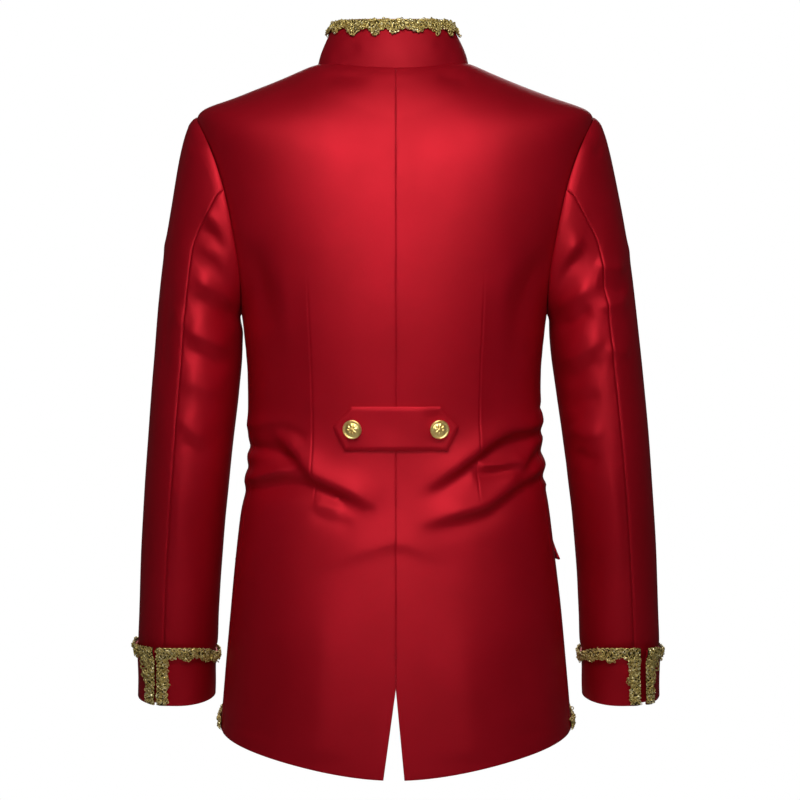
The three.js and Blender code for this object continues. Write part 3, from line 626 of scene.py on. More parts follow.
BODY_CREASES = [
    Crease(LEFT_FOLD, 8.0, 18, 7, 0.25, 0.3),
    Crease(LEFT_HOLLOW, -6.2, 7, 8, 0.2, 0.4, stub=0.4),
    Crease([(132, -381), (111, -389), (92, -398)], -2.4, 5, 6),
    Crease([(170, -412), (152, -416), (135, -419), (115, -424)], 3.0, 8, 7, 0.3, 0.5, stub=0.4),
    Crease([(170, -446), (153, -441), (134, -435), (114, -431), (98, -434)], 7.0, 9, 5, 0.3, 0.4, stub=0.15),
    Crease(LEFT_LOW_HOLLOW, -6.4, 6, 12, 0.2, 0.35, stub=0.3),
    Crease([(92, -463), (74, -467), (54, -473)], 1.8, 8, 6),
    Crease([(96, -473), (74, -481), (54, -486), (40, -492)], -1.5, 5, 9),
    Crease([(65, -455), (59, -461), (55, -468)], -1.4, 3, 3),
    Crease([(168, -383), (150, -381), (126, -379), (102, -385)], 2.6, 9, 6, 0.2, 0.4, stub=0.5),
    Crease(RIGHT_FOLD, 7.8, 17, 7, 0.2, 0.35, stub=0.3),
    Crease(RIGHT_HOLLOW, -5.6, 7, 9, 0.2, 0.35, stub=0.4),
    Crease([(-84, -426), (-112, -424), (-138, -419)], 4.0, 6, 4, 0.2, 0.1),
    Crease([(-80, -434), (-104, -433), (-136, -429)], -4.0, 5, 6, 0.2, 0.1),
    Crease(RIGHT_SPLIT, 3.8, 8, 5, 0.2, 0.4, stub=0.5),
    Crease([(-168, -408), (-148, -420), (-138, -434), (-123, -452)], -4.2, 6, 6, 0.2, 0.4, stub=0.5),
    Crease(RIGHT_LOW_FOLD, 8.0, 17, 7, 0.2, 0.35, stub=0.3),
    Crease(RIGHT_LOW_HOLLOW, -5.0, 7, 12, 0.2, 0.5, stub=0.4),
    Crease([(-70, -527), (-32, -516), (0, -506), (30, -513), (60, -524), (96, -538)], 2.6, 22, 8, 0.35, 0.4),
    Crease([(-176, -362), (-160, -363), (-146, -366)], -2.2, 4, 4, 0.1, 0.6, stub=1),
    Crease([(-176, -447), (-162, -448), (-150, -452)], 2.4, 5, 4, 0.1, 0.6, stub=1),
    Crease([(176, -428), (164, -429), (150, -431)], -2.0, 5, 5, 0.1, 0.6, stub=1),
    Crease([(158, -180), (150, -215), (142, -250), (134, -300)], -4.5, 15, 15, 0.3, 0.5),
    Crease([(-160, -190), (-147, -228), (-135, -262), (-128, -300)], -4.5, 15, 15, 0.3, 0.5),
    Crease([(128, -200), (120, -250), (116, -310)], 2.0, 14, 14),
    Crease([(-122, -200), (-116, -250), (-112, -310)], 2.0, 14, 14),
    Crease([(82, -6), (54, -9), (22, -12)], -2.2, 7, 9, 0.3, 0.5),
    Crease([(-38, -7), (-60, -9), (-80, -13)], -2.0, 7, 9, 0.4, 0.3),
    Crease([(70, -560), (78, -640), (84, -740)], 2.2, 26, 26, 0.4, 0.1),
    Crease([(-66, -570), (-76, -650), (-82, -740)], 2.4, 26, 26, 0.4, 0.1),
    Crease([(130, -600), (142, -660), (150, -720)], -1.8, 20, 20, 0.4, 0.1),
    Crease([(-128, -600), (-140, -660), (-148, -720)], -1.8, 20, 20, 0.4, 0.1),
    Crease([(148, -384), (110, -402), (60, -428), (20, -440)], 4.5, 14, 8, 0.05, 0.4, "front"),
    Crease([(150, -440), (112, -452), (70, -470)], 3.5, 12, 7, 0.05, 0.4, "front"),
    Crease([(-148, -392), (-104, -412), (-62, -430), (-30, -438)], 4.2, 14, 8, 0.05, 0.4, "front"),
    Crease([(-150, -430), (-118, -446), (-74, -462)], 3.6, 12, 7, 0.05, 0.4, "front"),
    Crease([(160, -180), (140, -232), (124, -290)], -4.0, 16, 16, 0.3, 0.5, "front"),
    Crease([(-160, -180), (-142, -236), (-126, -294)], -4.0, 16, 16, 0.3, 0.5, "front"),
    Crease([(30, -300), (70, -330), (110, -350)], 1.8, 14, 12, 0.3, 0.3, "front"),
    Crease([(-24, -310), (-70, -336), (-112, -352)], 1.8, 14, 12, 0.3, 0.3, "front"),
]
print(len(BODY_CREASES), "body creases")

# %% [markdown]
# ## Backs and fronts
#
# Each back and front is cut whole from neck to hem, and shaped by one dart at the waist. The rows of a
# panel follow the drop: they end on the shoulder seam, then on the armhole, then on the side seam. The
# columns are bunched at the seams and at the dart, where the cloth dips, and spread out between them. The
# relief of a panel adds up its folds, the grooves along its seams, the ripples beside them and a slight
# slackness everywhere else, because a cloth that is perfectly smooth between its folds looks like plastic.

# %% Rows and darts of a body panel
YOKE = np.linspace(0, SHOULDER_TIP, 38)[:-1]
TURNS = np.linspace(0, 180, 56)
SKIRT = np.linspace(UNDERARM, HEM, 151)[1:]
ROW_DROP = np.concatenate([YOKE, armhole_drop(TURNS), SKIRT])
ROW_TURN = np.concatenate([YOKE * 0, TURNS, SKIRT * 0 + 180])
ON_ARMHOLE = np.concatenate([YOKE < 0, TURNS < 180, SKIRT < 0])
COLUMNS = 72
back_dart = Table("down x", (0, 80), (200, 94), (330, 90), (470, 88), (HEM, 96))
front_dart = Table("down x", (0, 74), (200, 92), (330, 88), (470, 90), (HEM, 100))
DART_FROM, DART_TO = 215, 478
DART_GROOVE, DART_BEND = 0.7, 3.0


def angle_at(x, down, surface=body):
    """The angle, up to 90 degrees, at which the surface has a given x. It is found by halving."""
    x, down = np.broadcast_arrays(np.asarray(x, float), np.asarray(down, float))
    low, high = np.zeros(x.shape), np.full(x.shape, 90.0)
    sign = np.where(x < 0, -1, 1)
    rising = np.abs(surface(sign * low, down)[..., 0]) < np.abs(surface(sign * high, down)[..., 0])
    for _ in range(26):
        middle = (low + high) / 2
        short = np.abs(surface(sign * middle, down)[..., 0]) < np.abs(x)
        go_up = short == rising
        low, high = np.where(go_up, middle, low), np.where(go_up, high, middle)
    return sign * low


def panel_columns(first, dart, last):
    """Angles of a panel's columns: its first edge, its dart in the middle, its last edge."""
    share = gathered(COLUMNS + 1, spans=2)[None, :]
    first, dart, last = first[:, None], dart[:, None], last[:, None]
    return np.where(share < 0.5, lerp(first, dart, share * 2), lerp(dart, last, share * 2 - 1))


def row_ends(way):
    """The angle where each row of a back (1) or a front (-1) ends: at the shoulder seam, the armhole or the
    side seam."""
    hole = armhole_angle(way * ROW_TURN)
    side = np.where(ROW_DROP < SHOULDER_TIP, 90, side_seam(ROW_DROP)["angle"])
    return np.where(ON_ARMHOLE, hole, side)


def slack(place):
    """Broad uneven waves of cloth that nothing draws tight, in millimetres."""
    x, z = place[..., 0], place[..., 2]
    wave = np.sin(x / 17 + z / 90) * np.sin(z / 47 - x / 60 + 0.7)
    return 0.16 * wave + 0.10 * np.sin(x / 9.5 - z / 38 + 1.1) * np.sin(z / 26 + x / 33)


def panel_relief(place, normal, centre_seam=False):
    """Folds, seams, dart and puckers of a body panel, in millimetres outwards."""
    across, along = measured(place, 1), measured(place, 0)
    to_end = across[:, -1:] - across
    hole_row = ON_ARMHOLE[:, None]
    below = np.maximum(0, ROW_DROP - UNDERARM)[:, None]
    above = np.maximum(0, SHOULDER_TIP - ROW_DROP)[:, None]
    from_hole = np.where(hole_row, to_end, np.hypot(to_end, np.maximum(below, above)))
    relief = (creased(BODY_CREASES, place, normal) + slack(place)) * smoothstep(from_hole, 0, 16)
    seams = np.minimum(to_end, across) if centre_seam else to_end
    relief = relief + seam_groove(to_end, 0.6, 1.2) + seam_groove(along, 1.2, 7)
    if centre_seam:
        relief = relief + seam_groove(across, 0.35, 0.8)
    opening = smoothstep(ROW_DROP, DART_FROM, DART_FROM + 60)
    dart_depth = (opening * (1 - smoothstep(ROW_DROP, DART_TO - 40, DART_TO)))[:, None]
    past_dart = across - across[:, COLUMNS // 2 : COLUMNS // 2 + 1]
    from_dart = np.abs(past_dart)
    # Past the dart the cloth bends away towards the side.
    bend = DART_BEND * (1 - np.exp(-np.maximum(0, past_dart) / 13)) * (1 - smoothstep(past_dart, 36, 84))
    relief = relief - dart_depth * (DART_GROOVE * np.exp(-(from_dart**2)) + bend)
    drawn = np.exp(-seams / 6) * smoothstep(seams, 0, 3) + 0.8 * dart_depth * np.exp(-from_dart / 5)
    return relief + ripples(along, (6.1, 1.3), (17.3, 0.4), (3.7, 0)) * drawn

# %% Backs
def back_panel(side, sign):
    opened = np.maximum(0, (ROW_DROP - VENT_TOP) / (HEM - VENT_TOP)) * VENT_OPEN[sign]
    ring = body_ring(ROW_DROP)
    first = np.degrees(opened / (ring["back"] - ring["mid"]))
    dart = angle_at(sign * back_dart(ROW_DROP)["x"], ROW_DROP) * sign
    angle = sign * panel_columns(first, dart, row_ends(1))
    down = ROW_DROP[:, None] + 0 * angle
    place, normal = faced(body, angle, down)
    return satin_piece(f"back_{side}", place, normal, panel_relief(place, normal, centre_seam=True))


backs = {side: back_panel(side, sign) for side, sign in SIDES}

# %% Fronts
FRONT_CORNER, CORNER_ROUND = 70, 0.55
PITCH_FRONT, PITCH_SIDE = 0.62, 0.86  # height for each millimetre of drop, at the front hem and at its side


def front_hem(angle):
    """The drop of the front's hem, which rises round its lower corner."""
    edge = np.linalg.norm(body(180 + 0 * angle, HEM) - body(angle, HEM), axis=-1)
    inside = np.maximum(0, FRONT_CORNER - np.maximum(0, edge * np.where(angle > 180, -1, 1) + FRONT_LAP))
    rise = FRONT_CORNER - np.sqrt(FRONT_CORNER**2 - inside**2)
    return HEM - rise * CORNER_ROUND / PITCH_FRONT


def front_panel(side, sign):
    surface = body if sign > 0 else body_under
    ring = body_ring(ROW_DROP)
    lap = 180 + np.degrees(np.arcsin(FRONT_LAP / (ring["mid"] - ring["fore"])))
    dart = 180 - angle_at(front_dart(ROW_DROP)["x"], ROW_DROP, lambda a, d: body(180 - a, d))
    angle = panel_columns(lap, dart, row_ends(-1))
    share = np.clip((ROW_DROP - UNDERARM) / (HEM - UNDERARM), 0, 1)[:, None]
    down = np.where(share > 0, lerp(UNDERARM, front_hem(angle), share), ROW_DROP[:, None])
    place, normal = faced(surface, sign * angle, down)
    return satin_piece(f"front_{side}", place, normal, panel_relief(place, normal))


fronts = {side: front_panel(side, sign) for side, sign in SIDES}

# %% [markdown]
# ## Sleeves
#
# Each sleeve has two parts, a wide top sleeve round the outer arm and a narrow under sleeve, joined by a
# seam behind the elbow and one inside it. The folds of a hanging sleeve slant down and inwards from the
# back seam, and are closest together above the elbow. `SLEEVE_DEPTH` scales all of a sleeve's folds, since
# the two arms never hang alike. The seam allowance turned into the sleeve's head holds it up along the
# armhole, so the cloth swells there. A tube hung by a simulation would crumple by itself, but its seams
# would wander, so each part is a grid between two seams and its folds are drawn.

# %% Folds of the sleeves
SLEEVE_CREASES = {
    1: [
        Crease([(208, -152), (192, -163), (173, -177)], 2.8, 11, 7),
        Crease([(212, -170), (192, -181), (170, -196)], -2.6, 7, 9),
        Crease([(216, -186), (194, -198), (168, -212)], 2.2, 10, 8),
        Crease([(220, -222), (196, -236), (166, -252)], 3.8, 15, 7),
        Crease([(226, -240), (200, -254), (166, -270)], -3.4, 8, 12),
        Crease([(230, -276), (206, -289), (176, -302)], 3.6, 15, 7),
        Crease([(232, -296), (206, -309), (176, -320)], -3.4, 8, 12),
        Crease([(234, -330), (210, -341), (186, -350)], 2.0, 13, 9),
        Crease([(236, -370), (222, -386), (200, -400)], 2.4, 15, 8),
        Crease([(234, -396), (216, -409), (198, -416)], -1.8, 9, 10),
        Crease([(239, -252), (235, -266), (231, -280)], 1.4, 7, 6),
        Crease([(232, -83), (217, -86), (202, -90)], 1.4, 9, 6),
        Crease([(246, -205), (250, -274), (252, -350)], -1.6, 8, 8),
        Crease([(232, -420), (234, -480), (236, -560)], 1.6, 9, 12),
        Crease([(212, -450), (212, -510), (214, -580)], -1.6, 16, 16),
    ],
    -1: [
        Crease([(-167, -218), (-184, -197), (-203, -182)], 3.4, 10, 8),
        Crease([(-165, -236), (-182, -214), (-206, -198)], -3.2, 8, 8),
        Crease([(-165, -254), (-192, -245), (-214, -231)], 3.4, 11, 8),
        Crease([(-172, -275), (-192, -270), (-212, -254)], -3.0, 8, 9),
        Crease([(-176, -318), (-200, -304), (-226, -286)], 2.2, 15, 8),
        Crease([(-178, -338), (-200, -324), (-226, -308)], -2.2, 9, 12),
        Crease([(-184, -366), (-204, -356), (-224, -350)], -1.4, 9, 9),
        Crease([(-188, -383), (-206, -391), (-226, -394)], 2.6, 13, 8),
        Crease([(-190, -410), (-206, -417), (-222, -421)], -2.2, 6, 9),
        Crease([(-212, -208), (-232, -213), (-252, -212)], 2.2, 9, 6),
        Crease([(-214, -231), (-232, -235), (-252, -239)], -2.4, 9, 9),
        Crease([(-216, -258), (-234, -252), (-254, -248)], 1.8, 9, 7),
        Crease([(-222, -300), (-240, -303), (-256, -306)], 1.6, 8, 6),
        Crease([(-200, -64), (-212, -68), (-224, -73)], 1.8, 9, 6),
        Crease([(-203, -81), (-214, -83), (-225, -87)], -1.6, 7, 7),
        Crease([(-232, -410), (-239, -480), (-247, -550)], 1.8, 9, 12),
        Crease([(-206, -440), (-212, -510), (-222, -580)], -1.6, 16, 16),
    ],
}
FRONT_LINES = {
    1: [
        [(262, -180), (230, -196), (200, -214)],
        [(260, -240), (226, -262), (194, -276)],
        [(262, -300), (226, -322), (200, -332)],
        [(264, -360), (236, -372), (206, -380)],
        [(262, -430), (236, -436), (212, -436)],
    ],
    -1: [
        [(-262, -186), (-232, -200), (-204, -220)],
        [(-262, -246), (-228, -260), (-196, -282)],
        [(-264, -310), (-230, -324), (-202, -340)],
        [(-266, -372), (-238, -382), (-208, -392)],
        [(-264, -440), (-238, -444), (-214, -448)],
    ],
}
FRONT_RISES = ((2.6, 8), (3.2, 7), (3.0, 7), (2.4, 7), (1.8, 8))  # rise, and reach below
for sign, lines in FRONT_LINES.items():
    for line, (rise, below) in zip(lines, FRONT_RISES):
        SLEEVE_CREASES[sign].append(Crease(line, rise, 12, below, 0.2, 0.2, "front"))
print(len(SLEEVE_CREASES[1]), "and", len(SLEEVE_CREASES[-1]), "sleeve creases")

# %% Top sleeves and under sleeves
BACK_SEAM, FRONT_SEAM = 75, 240
SLEEVE_END = 653.5
ARM_RADIUS = 44
SLEEVE_ALONG = np.linspace(0, SLEEVE_END, 187)
SLEEVE_DEPTH = {1: 1.1, -1: 1.35}
ARMHOLE_LINE = [(195, -60), (183, -89), (169, -124), (160, -160), (153, -205), (147, -258)]
CAP_RIDGE = 2.0
UNDER_CUFF = (585, 605)  # the relief dies away over this, where the cuff covers the sleeve


def armhole_swell(sign):
    return Crease([(sign * x, z) for x, z in ARMHOLE_LINE], 5.0, 29, 29, 0.1, 0.3)


def sleeve_panel(node, sign, start, end, columns):
    surface = sleeve(sign)
    turn = lerp(start, end, gathered(columns + 1))[None, :]
    turn, along = np.broadcast_arrays(turn, SLEEVE_ALONG[:, None])
    place, normal = faced(surface, turn, along, -sign)
    across, down = measured(place, 1), measured(place, 0)
    seams = np.minimum(across, across[:, -1:] - across)
    relief = SLEEVE_DEPTH[sign] * creased(SLEEVE_CREASES[sign], place, normal) + 1.4 * slack(place)
    relief = relief * smoothstep(down, 4, 30)
    relief = relief + seam_groove(np.minimum(seams, down)) * (1 - smoothstep(along, 600, 620))
    relief = relief + CAP_RIDGE * smoothstep(normal[..., 2], 0.2, 0.8) * np.exp(-((down / 12) ** 2))
    relief = relief + creased([armhole_swell(sign)], place, normal)
    drawn = ripples(down, (6.7, 0.9), (15.1, 2.1), (3.9, sign))
    relief = relief + drawn * np.exp(-seams / 6) * smoothstep(seams, 0, 3) * smoothstep(down, 10, 40)
    return satin_piece(node, place, normal, relief * (1 - smoothstep(along, *UNDER_CUFF)))


sleeve_tops, sleeve_unders = {}, {}
for side, sign in SIDES:
    sleeve_tops[side] = sleeve_panel(f"sleeve_top_{side}", sign, FRONT_SEAM - 360, BACK_SEAM, 62)
    sleeve_unders[side] = sleeve_panel(f"sleeve_under_{side}", sign, BACK_SEAM, FRONT_SEAM, 50)

# %% [markdown]
# ## Collar
#
# A stand collar is a bent strip sewn into the neck seam, stiffened so that it keeps its height. It is
# lofted from the neck edge to a smaller ring above it, with a slight swell, and dips a little where it is
# sewn on. The canvas inside is quilted to the cloth, which shows as a faint wave round the collar. A flat
# strip bent by a Curve modifier would do too, but a loft has its lower edge on the neck seam without any
# fitting.

# %% Stand collar
COLLAR_TOP = {"back": 57, "fore": -55, "mid": 0, "half": 63, "square": 2.1, "shift": 4}
COLLAR_HIGH = {"back": 54, "side": 59, "front": -34}
COLLAR_EASE, COLLAR_SWELL, COLLAR_END = 1.7, 1.5, 3
COLLAR_SPAN = 180 - math.degrees(COLLAR_END / COLLAR_TOP["half"])


def collar(angle, up):
    """The collar's outer face: angle round the neck, and height above the seam in hundredths."""
    angle, up = np.broadcast_arrays(np.asarray(angle, float), np.asarray(up, float) / 100)
    end = np.where(cos_deg(angle) >= 0, COLLAR_HIGH["back"], COLLAR_HIGH["front"])
    top = on_ring(COLLAR_TOP, angle, ring_height(COLLAR_HIGH["side"], end, angle, COLLAR_EASE))
    swell = COLLAR_SWELL * np.sin(math.pi * up)
    out = np.stack([swell * sin_deg(angle), swell * cos_deg(angle), 0 * angle], axis=-1)
    return lerp(body(angle, 0 * angle), top, up[..., None]) + out


COLLAR_CREASES = [
    Crease([(74, 13), (58, 18), (36, 25)], -1.8, 7, 7),
    Crease([(82, 4), (66, 6), (52, 6)], 1.4, 3, 3),
    Crease([(-38, 28), (-56, 22), (-68, 12)], -1.4, 7, 7),
]


def collar_piece():
    angle = np.linspace(-COLLAR_SPAN, COLLAR_SPAN, 181)[None, :]
    up = np.linspace(-2, 100, 23)[:, None]
    angle, up = np.broadcast_arrays(angle, up)
    place, normal = faced(collar, angle, up, -1)
    rise = measured(place, 0)
    quilted = 0.5 * np.sin(np.radians(angle) * 7 + 0.6) * np.sin(up / 100 * math.pi)
    relief = seam_groove(rise, 1.2, 8) + quilted + creased(COLLAR_CREASES, place, normal)
    # The collar's satin carries painted shade: a slightly darker base colour than the body's satin.
    return satin_piece("collar", place, normal, relief, material=SHADED_COLLAR_SATIN)


collar_band = collar_piece()

# %% [markdown]
# ## Cuffs
#
# A separate cuff is wrapped round the sleeve's end and left open along the back seam. Its wall stands proud
# of the sleeve, its upper edge climbs a little beside the slit, and the two ends of the slit spring away
# from the arm. A strip pressed onto the sleeve by a Shrinkwrap modifier would lose its even distance from
# it, so the cuff is the sleeve's own surface, moved out along its normals.

# %% Cuffs
CUFF_TOP, CUFF_BOTTOM, CUFF_THICK, CUFF_LIFT = 603, 655, 2.6, 0.9
CUFF_SLIT, CUFF_GAP = {1: 66, -1: 64}, {1: 5, -1: 9}
CUFF_CLIMB = {"back": 14, 1: 10, -1: 4}
SPRING_START, SPRING_END, SPRING_OVER = 1.6, 2.2, 12
DEGREES_PER_MM = 360 / (2 * math.pi * ARM_RADIUS)


def cuff_ends(sign):
    gap = CUFF_GAP[sign] / 2 * DEGREES_PER_MM
    return CUFF_SLIT[sign] + gap, CUFF_SLIT[sign] + 360 - gap


def cuff_top(sign, turn):
    """Where the cuff's upper edge lies along the sleeve. It climbs at the back and round the outer fold."""
    back = np.maximum(0, sin_deg(turn)) ** 1.25
    outer = np.exp(-((np.where(turn > 180, turn - 360, turn) / 45) ** 2))
    wave = 0.6 * np.sin(np.radians(turn) * 5)
    return CUFF_TOP - CUFF_CLIMB["back"] * back - CUFF_CLIMB[sign] * outer + wave


def cuff_spring(sign, turn):
    """How far the two ends of the slit stand off the arm."""
    start, end = cuff_ends(sign)
    at_start = SPRING_START * np.exp(-(((turn - start) / SPRING_OVER) ** 2))
    return at_start + SPRING_END * np.exp(-(((end - turn) / SPRING_OVER) ** 2))


def cuff_surface(sign):
    """The cuff's outer face: turn round the arm, and distance below the cuff's upper edge."""
    arm = sleeve(sign)

    def surface(turn, below):
        along = cuff_top(sign, turn) + below
        normal = normal_of(arm, turn, along, -sign)
        lift = CUFF_LIFT + CUFF_THICK + cuff_spring(sign, turn)
        return arm(turn, along) + normal * lift[..., None]

    return surface


def cuff_piece(side, sign):
    surface = cuff_surface(sign)
    start, end = cuff_ends(sign)
    turn = np.linspace(start, end, 137)[None, :]
    below = np.linspace(0, 1, 31)[:, None] * (CUFF_BOTTOM - cuff_top(sign, turn))
    turn, below = np.broadcast_arrays(turn, below)
    place, normal = faced(surface, turn, below, -sign)
    round_arm = np.radians(turn)
    relief = 0.5 * np.sin(round_arm * 5 + below / 17) + 0.3 * np.sin(below / 9 + round_arm * 3)
    return satin_piece(f"cuff_{side}", place, normal, relief, CUFF_THICK, 0.7)


for side, sign in SIDES:
    cuff_piece(side, sign)

# %% [markdown]
# ## Half belt
#
# The half belt is a pointed strip of doubled satin, held at its ends by two buttons. It is pressed, so its
# edges are rolled and its face is slightly full. It rides over the folds of the back but spans the hollows,
# its points stand away from the cloth, and it is dented a little beside one button. A box with bevelled
# edges would look like a board, so the belt is cloth on the back's own surface too.

# %% Half belt
BELT_LEVEL, BELT_TALL, BELT_THICK, BELT_LIFT = 385, 47, 3, 1.2
BELT_BUTTON = 45
# Half the belt's length at its top, at its points and at its foot, and how far down the points lie.
BELT_TOP, BELT_POINT, BELT_FOOT, POINT_SHARE = 47, 66, 54, 0.45


def belt_half(share):
    """Half the belt's length at a share of its height from the top."""
    upper = lerp(BELT_TOP, BELT_POINT, share / POINT_SHARE)
    lower = lerp(BELT_POINT, BELT_FOOT, (share - POINT_SHARE) / (1 - POINT_SHARE))
    return np.where(share < POINT_SHARE, upper, lower)


def half_belt():
    share = gathered(35, pull=0.5)[:, None]
    f = gathered(101, pull=0.5)[None, :]
    x = lerp(-belt_half(share), belt_half(share), f)
    down = BELT_LEVEL + (share - 0.5) * BELT_TALL + 0 * x
    place, normal = faced(body, angle_at(x, down), down)
    across, along = measured(place, 1), measured(place, 0)
    edge = np.minimum(np.minimum(across, across[:, -1:] - across), np.minimum(along, along[-1:] - along))
    folds = np.maximum(0, creased(BODY_CREASES, place, normal))
    lifted = 1.8 * smoothstep(np.abs(x), 46, BELT_POINT) ** 2
    full = 0.9 * smoothstep(edge, 0, 5) - 0.5 * np.exp(-((edge / 0.9) ** 2))
    wave = 0.4 * np.sin(x / 11 + 0.8) * np.sin(down / 9)
    dent = 1.5 * np.exp(-(((x + 40) / 10) ** 2) - ((down - BELT_LEVEL + 13) / 8) ** 2)
    relief = BELT_LIFT + BELT_THICK + folds + lifted + full + wave - dent
    return satin_piece("half_belt", place, normal, relief, BELT_THICK, 0.6)


half_belt()

# %% [markdown]
# ## Pocket flaps
#
# The flaps hang from the fronts below the waist. Only their upper edge is sewn down, so the free edge
# stands away. A flap is a grid on the front's surface that is lifted more and more towards that edge, and a
# hinged flat plate would cut into the curve of the hip.

# %% Pocket flaps
FLAP_FROM, FLAP_TO = 99, 141  # degrees round from the centre back
FLAP_TOP, FLAP_TALL, FLAP_THICK, FLAP_LIFT = 496, 50, 2.4, 0.4
FLAP_FLARE = {"front": 2, 1: 3, -1: 8}


def pocket_flap(side, sign):
    surface = body if sign > 0 else body_under
    f = np.linspace(0, 1, 61)[None, :]
    low = np.linspace(0, 1, 31)[:, None]
    angle, low = np.broadcast_arrays(lerp(FLAP_FROM, FLAP_TO, f), low)
    down = FLAP_TOP + low * FLAP_TALL
    place, normal = faced(surface, sign * angle, down)
    rear = (FLAP_TO - angle) / (FLAP_TO - FLAP_FROM)
    flare = low**2 * lerp(FLAP_FLARE["front"], FLAP_FLARE[sign], rear)
    across, along = measured(place, 1), measured(place, 0)
    edge = np.minimum(np.minimum(across, across[:, -1:] - across), along[-1:] - along)
    full = 0.5 * smoothstep(edge, 0, 8) - 0.35 * np.exp(-(((edge - 3) / 0.8) ** 2))
    relief = FLAP_LIFT + FLAP_THICK + flare + full
    return satin_piece(f"pocket_flap_{side}", place, normal, relief, FLAP_THICK, 0.6)


for side, sign in SIDES:
    pocket_flap(side, sign)

# %% [markdown]
# ## Gold braid
#
# The braid is metal thread worked into a narrow band with a scalloped edge, and small cut beads catch the
# light all over it. It is built in layers: a thin tape, coloured near black as painted shade for the gaps,
# wavy cords laid on it, and small loops and beads scattered over the cords. The beads are flat-faced and
# tilted every way, so a few of them flash while the gaps between them stay dark, partly from real shade and
# partly from the tape's painted shade. A picture of a braid on a flat ribbon would look printed from close
# by, and a modelled stitch of each kind, copied along every curve, would look too even, so the loops and
# beads fall at random with a fixed seed.

# %% Metal thread, bead and tape finishes
def metal(name, dark, light, grain, roughness, metallic, bump=0):
    """Mottled metal with `grain` patches in a metre, larger ones of roughness and finer ones of bump."""
    finish = Finish(name)
    body_place = finish.place("Object")
    tone = finish.noise(body_place, grain, 2)
    sockets = {"Base_Color": finish.shades(tone, (0.35, dark), (0.65, light)), "Metallic": metallic}
    sockets["Roughness"] = finish.noise(body_place, grain * 0.5, 1) * 0.16 + (roughness - 0.08)
    if bump:
        sockets["Normal"] = finish.bump(finish.noise(body_place, grain * 1.7, 2), bump, 0.0006)
    return finish.surface(**sockets)


# The tape's near-black brown is painted shade: it stands for the shadow in the gaps between cords and beads.
GAP_SHADE_TAPE = metal("braid tape painted dark as gap shade", (0.022, 0.015, 0.002), (0.09, 0.06, 0.009), 700, 0.6, 0.3, bump=0.6)
THREAD = metal("gold thread", (0.36, 0.235, 0.035), (1.0, 0.84, 0.33), 420, 0.42, 0.6, bump=0.4)
BEAD = metal("gold beads", (0.55, 0.41, 0.12), (1.0, 0.93, 0.58), 260, 0.32, 0.7)
GILT = metal("gilt brass", (0.92, 0.60, 0.17), (1.0, 0.78, 0.30), 180, 0.3, 0.9)
print("metals:", ", ".join(material.name for material in (GAP_SHADE_TAPE, THREAD, BEAD, GILT)))

# %% Helpers for braid
def loose(bm):
    """The corners and faces of a bmesh, which is then freed."""
    bm.verts.index_update()
    corners = np.array([vert.co[:] for vert in bm.verts])
    faces = [[vert.index for vert in face.verts] for face in bm.faces]
    bm.free()
    return corners, faces


def sheet_of(points):
    """A bmesh grid with its corners at `points`."""
    rows, columns = points.shape[:2]
    bm = bmesh.new()
    bmesh.ops.create_grid(bm, x_segments=columns - 1, y_segments=rows - 1, size=1)
    for vert, place in zip(bm.verts, points.reshape(-1, 3) * MM):
        vert.co = place
    return bm


def tape_of(points, thick):
    """A flat tape with closed edges."""
    bm = sheet_of(points)
    bmesh.ops.solidify(bm, geom=bm.faces, thickness=thick * MM)
    bmesh.ops.recalc_face_normals(bm, faces=bm.faces)
    return loose(bm)


CORD_SIDES = 6


def cord_of(path, normal, radius):
    """A cord along a path of points, with closed ends."""
    ahead = np.gradient(path, axis=0)
    ahead /= np.linalg.norm(ahead, axis=-1, keepdims=True)
    beside = np.cross(ahead, normal)
    beside /= np.linalg.norm(beside, axis=-1, keepdims=True)
    up = np.cross(beside, ahead)
    angle = np.linspace(0, 2 * math.pi, CORD_SIDES + 1)[None, :, None]
    ring = path[:, None] + radius * (np.cos(angle) * beside[:, None] + np.sin(angle) * up[:, None])
    bm = sheet_of(ring)
    bmesh.ops.remove_doubles(bm, verts=bm.verts, dist=1e-7)
    bmesh.ops.holes_fill(bm, edges=bm.edges, sides=CORD_SIDES)
    bmesh.ops.recalc_face_normals(bm, faces=bm.faces)
    return loose(bm)


def one_bead():
    """A flattened bead of radius 1 with 20 facets."""
    bm = bmesh.new()
    bmesh.ops.create_icosphere(bm, subdivisions=1, radius=1)
    bmesh.ops.scale(bm, vec=(1, 1, 0.55), verts=bm.verts)
    return loose(bm)


LOOP_CORD = 0.27


def one_loop():
    """A small closed loop of cord, about 1 in radius, lying flat and drawn out a little."""
    turn, round_cord = np.linspace(0, 2 * math.pi, 9)[:, None], np.linspace(0, 2 * math.pi, 5)[None, :]
    turn, round_cord = np.broadcast_arrays(turn, round_cord)
    reach = 1 + LOOP_CORD * np.cos(round_cord)
    height = LOOP_CORD * np.sin(round_cord)
    points = np.stack([1.25 * reach * np.cos(turn), 0.85 * reach * np.sin(turn), height], axis=-1)
    bm = sheet_of(points / MM)
    bmesh.ops.remove_doubles(bm, verts=bm.verts, dist=1e-4)
    bmesh.ops.recalc_face_normals(bm, faces=bm.faces)
    return loose(bm)


def scattered(shape, centres, normals, size, tilt, seed):
    """Copies of a small shape at the centres, of uneven size, turned and tilted at random."""
    chance = np.random.default_rng(seed)
    corners, faces = shape
    count = len(centres)
    long = normals + chance.normal(0, tilt, normals.shape)
    long /= np.linalg.norm(long, axis=-1, keepdims=True)
    side = np.cross(long, chance.normal(0, 1, normals.shape))
    side /= np.linalg.norm(side, axis=-1, keepdims=True)
    third = np.cross(long, side)
    x, y, z = np.split(corners[None] * size * chance.uniform(0.7, 1.25, (count, 1, 1)) * MM, 3, axis=-1)
    placed = x * side[:, None] + y * third[:, None] + z * long[:, None] + centres[:, None] * MM
    repeated = [[corner + i * len(corners) for corner in face] for i in range(count) for face in faces]
    return placed.reshape(-1, 3), repeated


